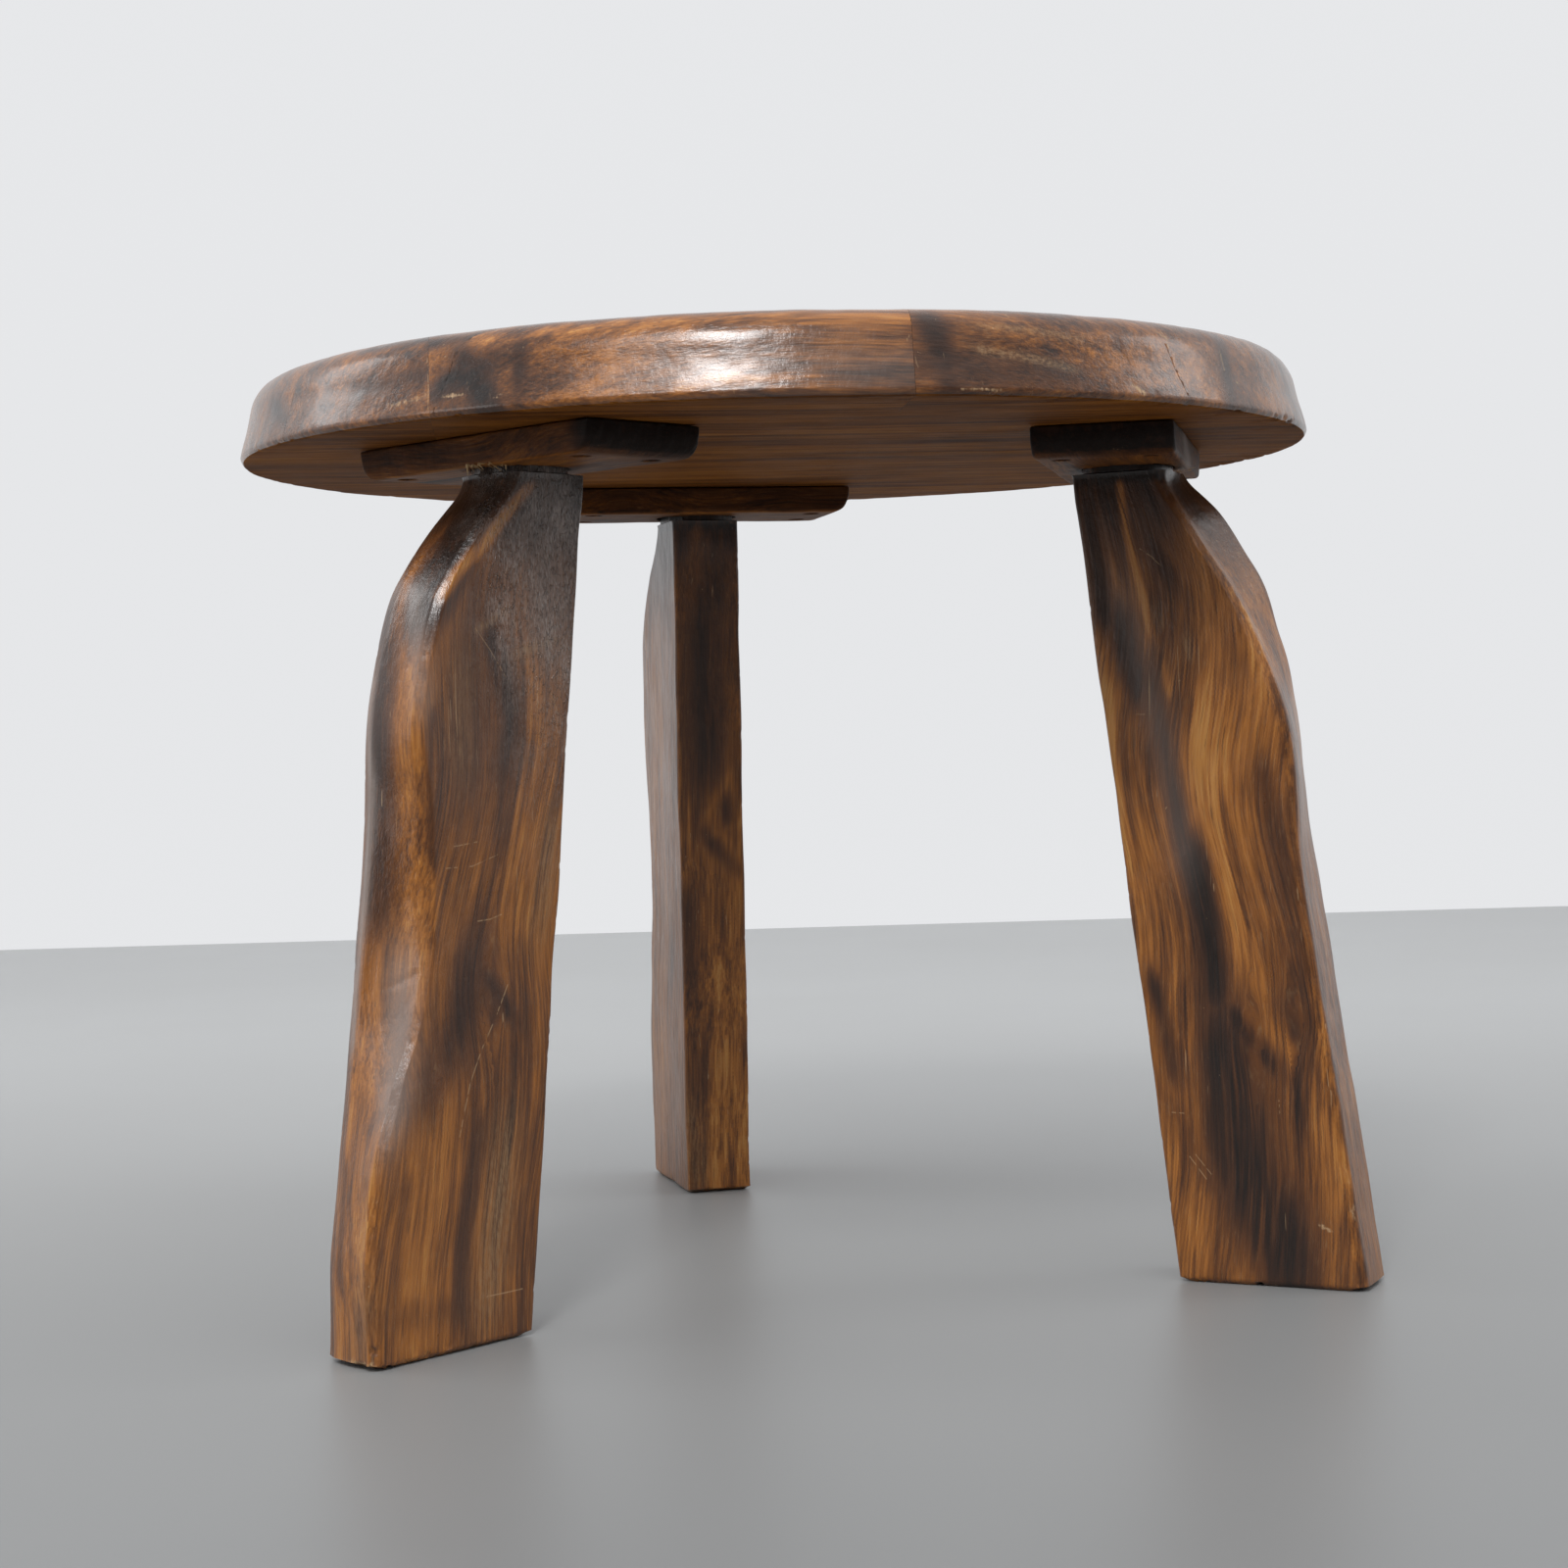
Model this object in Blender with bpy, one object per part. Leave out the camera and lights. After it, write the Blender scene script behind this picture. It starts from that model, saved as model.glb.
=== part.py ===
"""Three-legged cricket table in solid hardwood: a thick round top of edge-glued boards, three mortised
mounting blocks screwed under it, and three carved plank legs whose round-ended tenons stand in the blocks."""

import math

import bmesh
import bpy
from mathutils import Matrix, Vector

# Top: a round of strips glued edge to edge, two of them made up of two boards end to end
TOP_RADIUS = 0.300
TOP_THICKNESS = 0.044
UNDERSIDE_HEIGHT = 0.457
RIM_DRAW_IN = 0.0055
TOP_EDGE_RISE = 0.021
TOP_EDGE_RUN = 0.016
LOWER_EDGE_RISE = 0.004
LOWER_EDGE_RUN = 0.003
GLUE_LINE = 0.0003
GRAIN_TURN = math.radians(5)

# Where the long glue joints lie, from the front back, as shares of the top's radius, and where a strip has
# an end joint: the strip's place in that order and the joint's share of the radius along the grain
SEAM_SHARES = (0.784, 0.462, 0.097, -0.269, -0.634)
END_JOINT_SHARES = ((0, 0.138), (1, -0.622))

# Dowels inside the glue joints of the top
SEAM_DOWEL_RADIUS = 0.004
SEAM_DOWEL_LENGTH = 0.030
SEAM_DOWEL_CHAMFER = 0.001
SEAM_DOWEL_COVER = 0.013
SEAM_DOWEL_SHARES = (-0.6, 0.6)

# Mounting blocks, each with a round mortise that runs on into the top
BLOCK_LENGTH = 0.185
BLOCK_WIDTH = 0.075
BLOCK_THICKNESS = 0.0165
BLOCK_END_ROUNDING = 0.011
BLOCK_ARRIS = 0.0015
MORTISE_RADIUS = 0.025
MORTISE_DEPTH_IN_TOP = 0.020
MORTISE_SETBACK = 0.0044
MORTISE_INSET = 0.095

# Legs: planks that stand edge on to the middle of the table
LEG_THICKNESS = 0.0435
SHOULDER_GAP = 0.0027
HEAD_REACH_IN = 0.0257
HEAD_REACH_OUT = 0.0135
FOOT_REACH_IN = 0.0272
FOOT_REACH_OUT = 0.129
INNER_ARRIS = 0.0015
OUTER_ARRIS = 0.0045
FOOT_ARRIS = 0.0022
CARVE_DEPTH = 0.0145
TENON_FIT = 0.0003
TENON_CHEEK = 0.0012
TENON_ROOT = 0.018

# The outer edge of a leg, as shares of its reach and of its height below the shoulder
OUTLINE_SHARES = (
    (0.0, 0.0),
    (0.112, 0.030),
    (0.335, 0.090),
    (0.510, 0.150),
    (0.610, 0.230),
    (0.665, 0.305),
    (0.695, 0.400),
    (0.735, 0.505),
    (0.790, 0.615),
    (0.845, 0.715),
    (0.915, 0.830),
    (1.0, 1.0),
)
# How deep one outer corner of each leg is carved at shares of the height below the shoulder; a share
# below zero leaves the corner proud of the outline
CARVE_SHARES = {
    "front_left": (
        (0.29, 0.0), (0.40, 0.60), (0.47, 0.80), (0.555, 1.0), (0.62, 0.70), (0.69, 0.05), (0.78, -0.50),
        (0.88, -0.42), (1.01, -0.20),
    ),
    "right": ((0.0, 0.0), (0.045, -0.80), (0.12, -0.72), (0.22, -0.20), (0.30, 0.18), (0.37, 0.35), (0.52, 0.0)),
    "rear": (
        (0.0, 0.0), (0.07, -0.80), (0.15, -0.62), (0.25, -0.35), (0.36, -0.20), (0.42, 0.10), (0.49, 0.40),
        (0.57, 0.20), (0.67, -0.15), (0.78, -0.50), (0.88, -0.48), (1.01, -0.15),
    ),
}
CARVE_RIDGE_SHARE = 0.24

# Wood screws that hold each block, sunk below its face
SCREW_HEAD_RADIUS = 0.0042
SCREW_HEAD_LIP = 0.0005
SCREW_HEAD_HEIGHT = 0.0030
SCREW_SHANK_RADIUS = 0.0021
SCREW_TIP_RADIUS = 0.0004
SCREW_TIP_LENGTH = 0.006
SCREW_LENGTH = 0.030
SCREW_FIT = 0.0003
COUNTERBORE_RADIUS = 0.00475
COUNTERBORE_DEPTH = 0.0040
SCREW_INSET_ALONG = 0.0225
SCREW_INSET_ACROSS = 0.0140

# How far a cutter runs past what it cuts, and how near two points are one
OVERRUN = 0.002
MERGE_DISTANCE = 0.00002

# Facets
TOP_STEPS = 96
ROUND_STEPS = 32
SMALL_STEPS = 12
EDGE_STEPS = 5
LEG_STATIONS = 33
SMOOTH_ANGLE = math.radians(32)

# Where the legs stand, in degrees round the table from the front: the mortise's bearing, the turn of the
# leg and of the block in plan from that bearing, and the sideways lean of the leg
STATION_ANGLES = {
    "front_left": (-39.8, -1.7, -5.5, -0.2),
    "right": (71.1, -7.0, 6.3, -0.9),
    "rear": (194.5, 0.7, -2.8, -1.3),
}

MORTISE_CIRCLE = TOP_RADIUS - MORTISE_INSET
BLOCK_TOP_HEIGHT = UNDERSIDE_HEIGHT - GLUE_LINE
BLOCK_FACE_HEIGHT = BLOCK_TOP_HEIGHT - BLOCK_THICKNESS
SHOULDER_HEIGHT = BLOCK_FACE_HEIGHT - SHOULDER_GAP
MORTISE_CEILING = UNDERSIDE_HEIGHT + MORTISE_DEPTH_IN_TOP


def clear_scene():
    for old in list(bpy.data.objects):
        bpy.data.objects.remove(old, do_unlink=True)


def finish(name, colour, roughness, metallic=0.0):
    """A Principled material of one colour."""
    material = bpy.data.materials.new(name)
    material.use_nodes = True
    shader = material.node_tree.nodes["Principled BSDF"]
    shader.inputs["Base Color"].default_value = (*colour, 1.0)
    shader.inputs["Roughness"].default_value = roughness
    shader.inputs["Metallic"].default_value = metallic
    return material


def place(bm, name, parent=None, material=None):
    """Turns a bmesh into a named object, smooth except across its sharp edges."""
    bmesh.ops.recalc_face_normals(bm, faces=bm.faces)
    mesh = bpy.data.meshes.new(name)
    bm.to_mesh(mesh)
    bm.free()
    mesh.shade_smooth()
    mesh.set_sharp_from_angle(angle=SMOOTH_ANGLE)
    piece = bpy.data.objects.new(name, mesh)
    bpy.context.collection.objects.link(piece)
    piece.parent = parent
    if material:
        mesh.materials.append(material)
    return piece


def hide(cutter):
    """Marks an object as a guide that is no part of the table."""
    cutter.hide_render = True
    cutter.display_type = "WIRE"
    return cutter


def combine(piece, other, operation):
    """Adds a live Boolean of another object to a piece."""
    step = piece.modifiers.new(f"{operation.lower()} {other.name}", "BOOLEAN")
    step.operation = operation
    step.object = other
    step.solver = "EXACT"


def arc(centre, run, rise, start, end, steps):
    """Points (radius, height) along part of an ellipse, from one angle to another."""
    points = []
    for i in range(steps + 1):
        angle = start + (end - start) * i / steps
        points.append((centre[0] + run * math.cos(angle), centre[1] + rise * math.sin(angle)))
    return points


def turn_profile(bm, profile, steps, matrix=Matrix()):
    """Spins an open profile of (radius, height) points round Z and caps both ends."""
    verts = [bm.verts.new((radius, 0.0, height)) for radius, height in profile]
    edges = [bm.edges.new(pair) for pair in zip(verts, verts[1:])]
    bmesh.ops.spin(bm, geom=verts + edges, axis=(0, 0, 1), cent=(0, 0, 0), steps=steps, angle=2 * math.pi)
    bmesh.ops.remove_doubles(bm, verts=bm.verts, dist=MERGE_DISTANCE)
    rims = [edge for edge in bm.edges if edge.is_boundary]
    bmesh.ops.edgeloop_fill(bm, edges=rims)
    bmesh.ops.transform(bm, matrix=matrix, verts=bm.verts)


def add_solid(bm, other):
    """Copies the solid of one bmesh into another and frees it."""
    mesh = bpy.data.meshes.new("part of a group")
    other.to_mesh(mesh)
    other.free()
    bm.from_mesh(mesh)
    bpy.data.meshes.remove(mesh)


def turned_cutter(name, profile, steps, places, parent):
    """A hidden cutter that holds the same turned solid at several places."""
    group = bmesh.new()
    for matrix in places:
        single = bmesh.new()
        turn_profile(single, profile, steps, matrix)
        add_solid(group, single)
    return hide(place(group, name, parent))


def turned_copies(name, profile, steps, places, parent, material):
    """One turned piece for each place, all with the same mesh."""
    bm = bmesh.new()
    turn_profile(bm, profile, steps)
    first = place(bm, f"{name}_1", parent, material)
    first.matrix_local = places[0]
    for number, matrix in enumerate(places[1:], 2):
        copy = bpy.data.objects.new(f"{name}_{number}", first.data)
        bpy.context.collection.objects.link(copy)
        copy.parent = parent
        copy.matrix_local = matrix


def outline_curve(points, steps):
    """A smooth Catmull-Rom line through the points, evenly divided between the first and the last."""
    ends = [points[0], *points, points[-1]]
    spans = len(points) - 1
    curve = []
    for i in range(steps + 1):
        position = i * spans / steps
        span = min(int(position), spans - 1)
        t = position - span
        before, start, end, after = (Vector(p) for p in ends[span:span + 4])
        curve.append(
            0.5 * (
                2 * start
                + (end - before) * t
                + (2 * before - 5 * start + 4 * end - after) * t * t
                + (3 * start - before - 3 * end + after) * t * t * t
            )
        )
    return curve


def carve_share(shares, position):
    """Reads a table of (position, value) shares with smooth steps between its rows, zero outside it."""
    if position <= shares[0][0] or position >= shares[-1][0]:
        return 0.0
    for (low, low_value), (high, high_value) in zip(shares, shares[1:]):
        if position <= high:
            t = (position - low) / (high - low)
            return low_value + (high_value - low_value) * t * t * (3 - 2 * t)
    return 0.0


# The top


def rim_profile():
    """The rim from the edge of the top face down to the edge of the underside."""
    side_top = TOP_THICKNESS - TOP_EDGE_RISE
    shoulder_radius = TOP_RADIUS - RIM_DRAW_IN
    upper_centre = (shoulder_radius - TOP_EDGE_RUN, side_top)
    upper = arc(upper_centre, TOP_EDGE_RUN, TOP_EDGE_RISE, math.pi / 2, 0.0, EDGE_STEPS + 2)
    lower_centre = (TOP_RADIUS - LOWER_EDGE_RUN, LOWER_EDGE_RISE)
    lower = arc(lower_centre, LOWER_EDGE_RUN, LOWER_EDGE_RISE, 0.0, -math.pi / 2, EDGE_STEPS)
    return upper + lower


def grain_frame():
    """Turns a layout with its boards along X and its front at -Y to the run of the grain."""
    return Matrix.Rotation(GRAIN_TURN, 4, "Z")


def board_spans():
    """The boards in that layout, each as the ends of its run in X and of its width in Y, glue lines off."""
    edge = TOP_RADIUS + OVERRUN
    seams = [-edge] + [-share * TOP_RADIUS for share in SEAM_SHARES] + [edge]
    half_line = GLUE_LINE / 2
    spans = []
    for strip, (near, far) in enumerate(zip(seams, seams[1:])):
        joints = [share * TOP_RADIUS for order, share in END_JOINT_SHARES if order == strip]
        stops = [-edge] + joints + [edge]
        for left, right in zip(stops, stops[1:]):
            spans.append((left + half_line, right - half_line, near + half_line, far - half_line))
    return spans


def half_chord(offset):
    """Half the length of a chord of the top that dowels may reach, at a distance from its middle."""
    deepest = abs(offset) + SEAM_DOWEL_LENGTH / 2
    return math.sqrt(max((TOP_RADIUS - SEAM_DOWEL_COVER) ** 2 - deepest**2, 0.0))


def glue_joints():
    """Each glue joint in that layout as its two ends in plan, the long ones first."""
    joints = []
    for share in SEAM_SHARES:
        y = -share * TOP_RADIUS
        joints.append((Vector((-half_chord(y), y, 0.0)), Vector((half_chord(y), y, 0.0))))
    for strip, share in END_JOINT_SHARES:
        x = share * TOP_RADIUS
        joints.append((Vector((x, -half_chord(x), 0.0)), Vector((x, -SEAM_SHARES[strip] * TOP_RADIUS, 0.0))))
    return joints


def make_top(table, cutters, material):
    """The boards: slabs between the glue joints, cut round, mortised and drilled."""
    disc_bm = bmesh.new()
    turn_profile(disc_bm, rim_profile(), TOP_STEPS, Matrix.Translation((0, 0, UNDERSIDE_HEIGHT)))
    disc = hide(place(disc_bm, "round_guide", table))
    height = TOP_THICKNESS + 2 * OVERRUN
    for number, (left, right, near, far) in enumerate(board_spans(), 1):
        centre = Vector(((left + right) / 2, (near + far) / 2, UNDERSIDE_HEIGHT + TOP_THICKNESS / 2))
        size = Matrix.Diagonal((right - left, far - near, height, 1))
        slab = bmesh.new()
        bmesh.ops.create_cube(slab, size=1.0, matrix=grain_frame() @ Matrix.Translation(centre) @ size)
        board = place(slab, f"top_board_{number}", table, material)
        combine(board, disc, "INTERSECT")
        for cutter in cutters:
            combine(board, cutter, "DIFFERENCE")
    return disc


def seam_dowel_places(start, end):
    """Where the dowels of the glue joint between two points lie, each matrix turning Z across the joint."""
    run = end - start
    height = (MORTISE_CEILING + UNDERSIDE_HEIGHT + TOP_THICKNESS) / 2
    across = Matrix.Rotation(math.atan2(run.y, run.x), 4, "Z") @ Matrix.Rotation(math.pi / 2, 4, "X")
    middles = [(start + end + run * share) / 2 + Vector((0.0, 0.0, height)) for share in SEAM_DOWEL_SHARES]
    return [grain_frame() @ Matrix.Translation(middle) @ across for middle in middles]


def dowel_profile(grow):
    """A dowel's outline, or its hole's outline when it grows by the fit."""
    radius = SEAM_DOWEL_RADIUS + grow
    half = SEAM_DOWEL_LENGTH / 2 + grow
    return [
        (radius - SEAM_DOWEL_CHAMFER, half),
        (radius, half - SEAM_DOWEL_CHAMFER),
        (radius, SEAM_DOWEL_CHAMFER - half),
        (radius - SEAM_DOWEL_CHAMFER, -half),
    ]


def make_seam_dowels(table, material):
    """The dowels of every glue joint, and the cutter for their holes."""
    every_place = []
    for number, (start, end) in enumerate(glue_joints(), 1):
        places = seam_dowel_places(start, end)
        turned_copies(f"seam_{number}_dowel", dowel_profile(0.0), SMALL_STEPS, places, table, material)
        every_place += places
    return turned_cutter("seam_dowel_holes", dowel_profile(GLUE_LINE), SMALL_STEPS, every_place, table)


# Blocks and their screws, in a frame that stands on the mortise's axis with +X away from the table's middle


def screw_places():
    """The four corners of a block, at the height of the screws' heads."""
    along = BLOCK_LENGTH / 2 - SCREW_INSET_ALONG
    across = BLOCK_WIDTH / 2 - SCREW_INSET_ACROSS
    level = BLOCK_FACE_HEIGHT + COUNTERBORE_DEPTH
    signs = [(side, end) for side in (-1, 1) for end in (-1, 1)]
    return [Matrix.Translation((side * across - MORTISE_SETBACK, end * along, level)) for side, end in signs]


def screw_profile():
    """A countersunk wood screw that points up, from its tip down to the flat of its head."""
    return [
        (SCREW_TIP_RADIUS, SCREW_LENGTH),
        (SCREW_SHANK_RADIUS, SCREW_LENGTH - SCREW_TIP_LENGTH),
        (SCREW_SHANK_RADIUS, SCREW_HEAD_HEIGHT),
        (SCREW_HEAD_RADIUS, SCREW_HEAD_LIP),
        (SCREW_HEAD_RADIUS, 0.0),
    ]


def screw_hole_profile():
    """The hole for a screw: pilot, countersink and the wide counterbore below."""
    shank = SCREW_SHANK_RADIUS + SCREW_FIT
    head = SCREW_HEAD_RADIUS + SCREW_FIT
    return [
        (shank, SCREW_LENGTH + SCREW_FIT),
        (shank, SCREW_HEAD_HEIGHT + SCREW_FIT),
        (head, SCREW_HEAD_LIP + SCREW_FIT),
        (COUNTERBORE_RADIUS, 0.0),
        (COUNTERBORE_RADIUS, -COUNTERBORE_DEPTH - OVERRUN),
    ]


def make_block(name, station, cutters, material):
    """A board with its long side round the table, its lower end edges rounded over."""
    bm = bmesh.new()
    centre = Matrix.Translation((-MORTISE_SETBACK, 0.0, BLOCK_FACE_HEIGHT + BLOCK_THICKNESS / 2))
    size = Matrix.Diagonal((BLOCK_WIDTH, BLOCK_LENGTH, BLOCK_THICKNESS, 1))
    bmesh.ops.create_cube(bm, size=1.0, matrix=centre @ size)
    lower = [e for e in bm.edges if all(v.co.z < BLOCK_FACE_HEIGHT + OVERRUN for v in e.verts)]
    ends = [e for e in lower if abs(e.verts[0].co.y - e.verts[1].co.y) < OVERRUN]
    bmesh.ops.bevel(bm, geom=ends, offset=BLOCK_END_ROUNDING, segments=EDGE_STEPS, profile=0.5, affect="EDGES")
    sides = [
        e for e in bm.edges
        if abs(e.verts[0].co.x - e.verts[1].co.x) < GLUE_LINE
        and all(v.co.z < BLOCK_TOP_HEIGHT - GLUE_LINE for v in e.verts)
        and abs(e.verts[0].co.x + MORTISE_SETBACK) > BLOCK_WIDTH / 2 - GLUE_LINE
    ]
    bmesh.ops.bevel(bm, geom=sides, offset=BLOCK_ARRIS, segments=1, profile=0.5, affect="EDGES")
    block = place(bm, name, station, material)
    for cutter in cutters:
        combine(block, cutter, "DIFFERENCE")
    return block


# Legs, in a frame that stands on the mortise's axis with +X along the plank's width, outwards


def leg_outline():
    """Points (reach from the mortise's axis, height) down the outer edge of a leg."""
    spread = FOOT_REACH_OUT - HEAD_REACH_OUT
    points = [(HEAD_REACH_OUT + x * spread, SHOULDER_HEIGHT * (1 - z)) for x, z in OUTLINE_SHARES]
    return outline_curve(points, LEG_STATIONS)


def leg_section(outer, height, lean, carving, shrink):
    """The corners of the plank at one height, counter-clockwise from above."""
    below = (SHOULDER_HEIGHT - height) / SHOULDER_HEIGHT
    inner = -HEAD_REACH_IN + below * (HEAD_REACH_IN + FOOT_REACH_IN) + shrink
    outer = outer - shrink
    half = LEG_THICKNESS / 2 - shrink
    hollow = CARVE_DEPTH * carve_share(carving, below)
    ridge = LEG_THICKNESS * (CARVE_RIDGE_SHARE - 0.5)
    shift = (SHOULDER_HEIGHT - height) * math.tan(lean)
    corners = [
        (inner + INNER_ARRIS, -half),
        (outer - OUTER_ARRIS, -half),
        (outer, OUTER_ARRIS - half),
        (outer, ridge),
        (outer - hollow, half - OUTER_ARRIS),
        (outer - hollow - OUTER_ARRIS, half),
        (inner + INNER_ARRIS, half),
        (inner, half - INNER_ARRIS),
        (inner, INNER_ARRIS - half),
    ]
    return [Vector((x, y + shift, height)) for x, y in corners]


def loft(bm, rings):
    """Skins a stack of rings with the same number of corners, and caps both ends."""
    loops = [[bm.verts.new(corner) for corner in ring] for ring in rings]
    for upper, lower in zip(loops, loops[1:]):
        for i in range(len(upper)):
            j = (i + 1) % len(upper)
            bm.faces.new((upper[i], lower[i], lower[j], upper[j]))
    bm.faces.new(loops[0])
    bm.faces.new(list(reversed(loops[-1])))


def tenon_section(height):
    """A round cut off flat at the cheeks, so that only its two ends bear in the mortise."""
    radius = MORTISE_RADIUS - TENON_FIT
    cheek = LEG_THICKNESS / 2 - TENON_CHEEK
    swing = math.asin(min(cheek / radius, 1.0))
    corners = arc((0.0, 0.0), radius, radius, -swing, swing, 2 * EDGE_STEPS)
    corners += arc((0.0, 0.0), radius, radius, math.pi - swing, math.pi + swing, 2 * EDGE_STEPS)
    return [Vector((x, y, height)) for x, y in corners]


def make_leg(name, station, lean, carving, material):
    """A carved leg with its tenon."""
    rings = [leg_section(x, z, lean, carving, 0.0) for x, z in leg_outline() if z > FOOT_ARRIS]
    foot = leg_outline()[-1]
    rings.append(leg_section(foot[0], FOOT_ARRIS, lean, carving, 0.0))
    rings.append(leg_section(foot[0], 0.0, lean, carving, FOOT_ARRIS))
    body = bmesh.new()
    loft(body, rings)
    leg = place(body, name, station, material)
    head = bmesh.new()
    loft(head, [tenon_section(MORTISE_CEILING - TENON_FIT), tenon_section(SHOULDER_HEIGHT - TENON_ROOT)])
    combine(leg, hide(place(head, f"{name}_tenon_guide", station)), "UNION")
    return leg


def empty(name, parent, matrix):
    """A frame for other pieces to stand in."""
    frame = bpy.data.objects.new(name, None)
    bpy.context.collection.objects.link(frame)
    frame.parent = parent
    frame.matrix_local = matrix
    return frame


def turned(degrees):
    return Matrix.Rotation(math.radians(degrees), 4, "Z")


def centre_in_plan(table, pieces):
    """Moves the table so that the middle of its plan, feet and top together, is over the origin."""
    bpy.context.view_layer.update()
    corners = [piece.matrix_world @ v.co for piece in pieces for v in piece.data.vertices]
    for axis in (0, 1):
        values = [corner[axis] for corner in corners]
        table.location[axis] = -(min(values) + max(values)) / 2
    bpy.context.view_layer.update()


def main():
    clear_scene()
    board_wood = finish("board wood", (0.23, 0.09, 0.035), 0.35)
    block_wood = finish("block wood", (0.10, 0.04, 0.02), 0.45)
    leg_wood = finish("leg wood", (0.20, 0.075, 0.025), 0.35)
    dowel_wood = finish("dowel wood", (0.55, 0.38, 0.22), 0.6)
    screw_steel = finish("screw steel", (0.35, 0.33, 0.30), 0.4, 1.0)

    table = empty("cricket_table", None, Matrix())
    bore = [
        (MORTISE_RADIUS, MORTISE_CEILING),
        (MORTISE_RADIUS, BLOCK_FACE_HEIGHT - OVERRUN),
    ]
    cutters, measured = [make_seam_dowels(table, dowel_wood)], []
    for name, (bearing, leg_turn, block_turn, lean) in STATION_ANGLES.items():
        outwards = turned(bearing - 90) @ Matrix.Translation((MORTISE_CIRCLE, 0.0, 0.0))
        leg_frame = empty(f"{name}_leg_frame", table, outwards @ turned(leg_turn))
        block_frame = empty(f"{name}_block_frame", table, outwards @ turned(block_turn))
        mortise = turned_cutter(f"{name}_mortise", bore, ROUND_STEPS, [Matrix()], block_frame)
        holes = turned_cutter(f"{name}_screw_holes", screw_hole_profile(), SMALL_STEPS, screw_places(), block_frame)
        make_block(f"leg_block_{name}", block_frame, [mortise, holes], block_wood)
        turned_copies(f"screw_{name}", screw_profile(), SMALL_STEPS, screw_places(), block_frame, screw_steel)
        measured.append(make_leg(f"leg_{name}", leg_frame, math.radians(lean), CARVE_SHARES[name], leg_wood))
        cutters += [mortise, holes]
    measured.append(make_top(table, cutters, board_wood))
    centre_in_plan(table, measured)


main()
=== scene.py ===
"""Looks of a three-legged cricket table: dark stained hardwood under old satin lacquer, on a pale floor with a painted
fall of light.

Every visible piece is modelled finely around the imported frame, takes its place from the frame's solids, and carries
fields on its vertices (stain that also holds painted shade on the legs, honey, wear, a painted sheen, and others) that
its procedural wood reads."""

import logging
import math
from collections.abc import Callable, Sequence
from dataclasses import dataclass, field
from enum import Enum

import bpy
import numpy as np
from mathutils import Matrix, Vector
from mathutils.bvhtree import BVHTree


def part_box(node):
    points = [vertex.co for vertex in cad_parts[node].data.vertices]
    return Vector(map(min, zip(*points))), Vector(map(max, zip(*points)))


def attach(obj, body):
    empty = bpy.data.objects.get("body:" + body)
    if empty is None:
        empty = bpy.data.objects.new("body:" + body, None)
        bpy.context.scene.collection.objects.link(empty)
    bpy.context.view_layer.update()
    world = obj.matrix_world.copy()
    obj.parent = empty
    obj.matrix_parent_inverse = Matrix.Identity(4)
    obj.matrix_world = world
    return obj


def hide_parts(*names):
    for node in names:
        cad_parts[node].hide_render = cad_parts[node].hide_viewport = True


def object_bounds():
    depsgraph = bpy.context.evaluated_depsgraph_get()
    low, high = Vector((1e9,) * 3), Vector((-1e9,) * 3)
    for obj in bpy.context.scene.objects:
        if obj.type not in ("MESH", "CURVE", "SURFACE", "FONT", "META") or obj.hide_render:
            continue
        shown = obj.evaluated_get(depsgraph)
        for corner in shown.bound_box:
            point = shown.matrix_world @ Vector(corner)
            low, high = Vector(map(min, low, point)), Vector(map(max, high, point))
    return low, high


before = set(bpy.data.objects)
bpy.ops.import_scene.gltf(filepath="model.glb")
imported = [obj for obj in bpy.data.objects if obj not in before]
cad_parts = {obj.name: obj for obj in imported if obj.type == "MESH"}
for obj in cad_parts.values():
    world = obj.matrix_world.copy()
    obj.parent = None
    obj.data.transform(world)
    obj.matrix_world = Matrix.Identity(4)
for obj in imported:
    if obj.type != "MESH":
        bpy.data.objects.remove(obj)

logging.basicConfig(level=logging.INFO, format="%(name)s: %(message)s")
log = logging.getLogger("cricket_table")

CAD_BOX = [list(corner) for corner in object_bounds()]
STATIONS = ("front_left", "right", "rear")
MM = 0.001
UPRIGHT = 0.2  # the most that an upright face's normal rises
NONE = 1e-9  # keeps a length from being zero

Triple = tuple[float, float, float]
Colour = Triple
Pixel = tuple[float, float]
Socket = bpy.types.NodeSocket


# Small tools for meshes


def only(piece: bpy.types.Object) -> None:
    """Selects one object alone and makes it active.

    Args:
        piece: the object.
    """
    bpy.ops.object.select_all(action="DESELECT")
    piece.select_set(True)
    bpy.context.view_layer.objects.active = piece


def new_primitive(name: str, add: Callable[..., set[str]], **settings: object) -> bpy.types.Object:
    """Adds a primitive with one of Blender's own operators.

    Args:
        name: the new object's name.
        add: the operator, such as bpy.ops.mesh.primitive_cube_add.
        settings: the operator's own settings.

    Returns:
        The new object, selected alone.
    """
    bpy.ops.object.select_all(action="DESELECT")
    add(**settings)
    piece = bpy.context.view_layer.objects.active
    piece.name = piece.data.name = name
    only(piece)
    return piece


def settle(piece: bpy.types.Object) -> None:
    """Moves an object's place, turn and scale into its mesh."""
    only(piece)
    bpy.ops.object.transform_apply(location=True, rotation=True, scale=True)


def apply_modifier(piece: bpy.types.Object, kind: str, **settings: object) -> None:
    """Adds a modifier with its settings and applies it at once.

    Args:
        piece: the object.
        kind: Blender's name for the modifier.
        settings: the modifier's own settings.
    """
    only(piece)
    modifier = piece.modifiers.new(kind.title(), kind)
    for key, value in settings.items():
        setattr(modifier, key, value)
    bpy.ops.object.modifier_apply(modifier=modifier.name)


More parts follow.
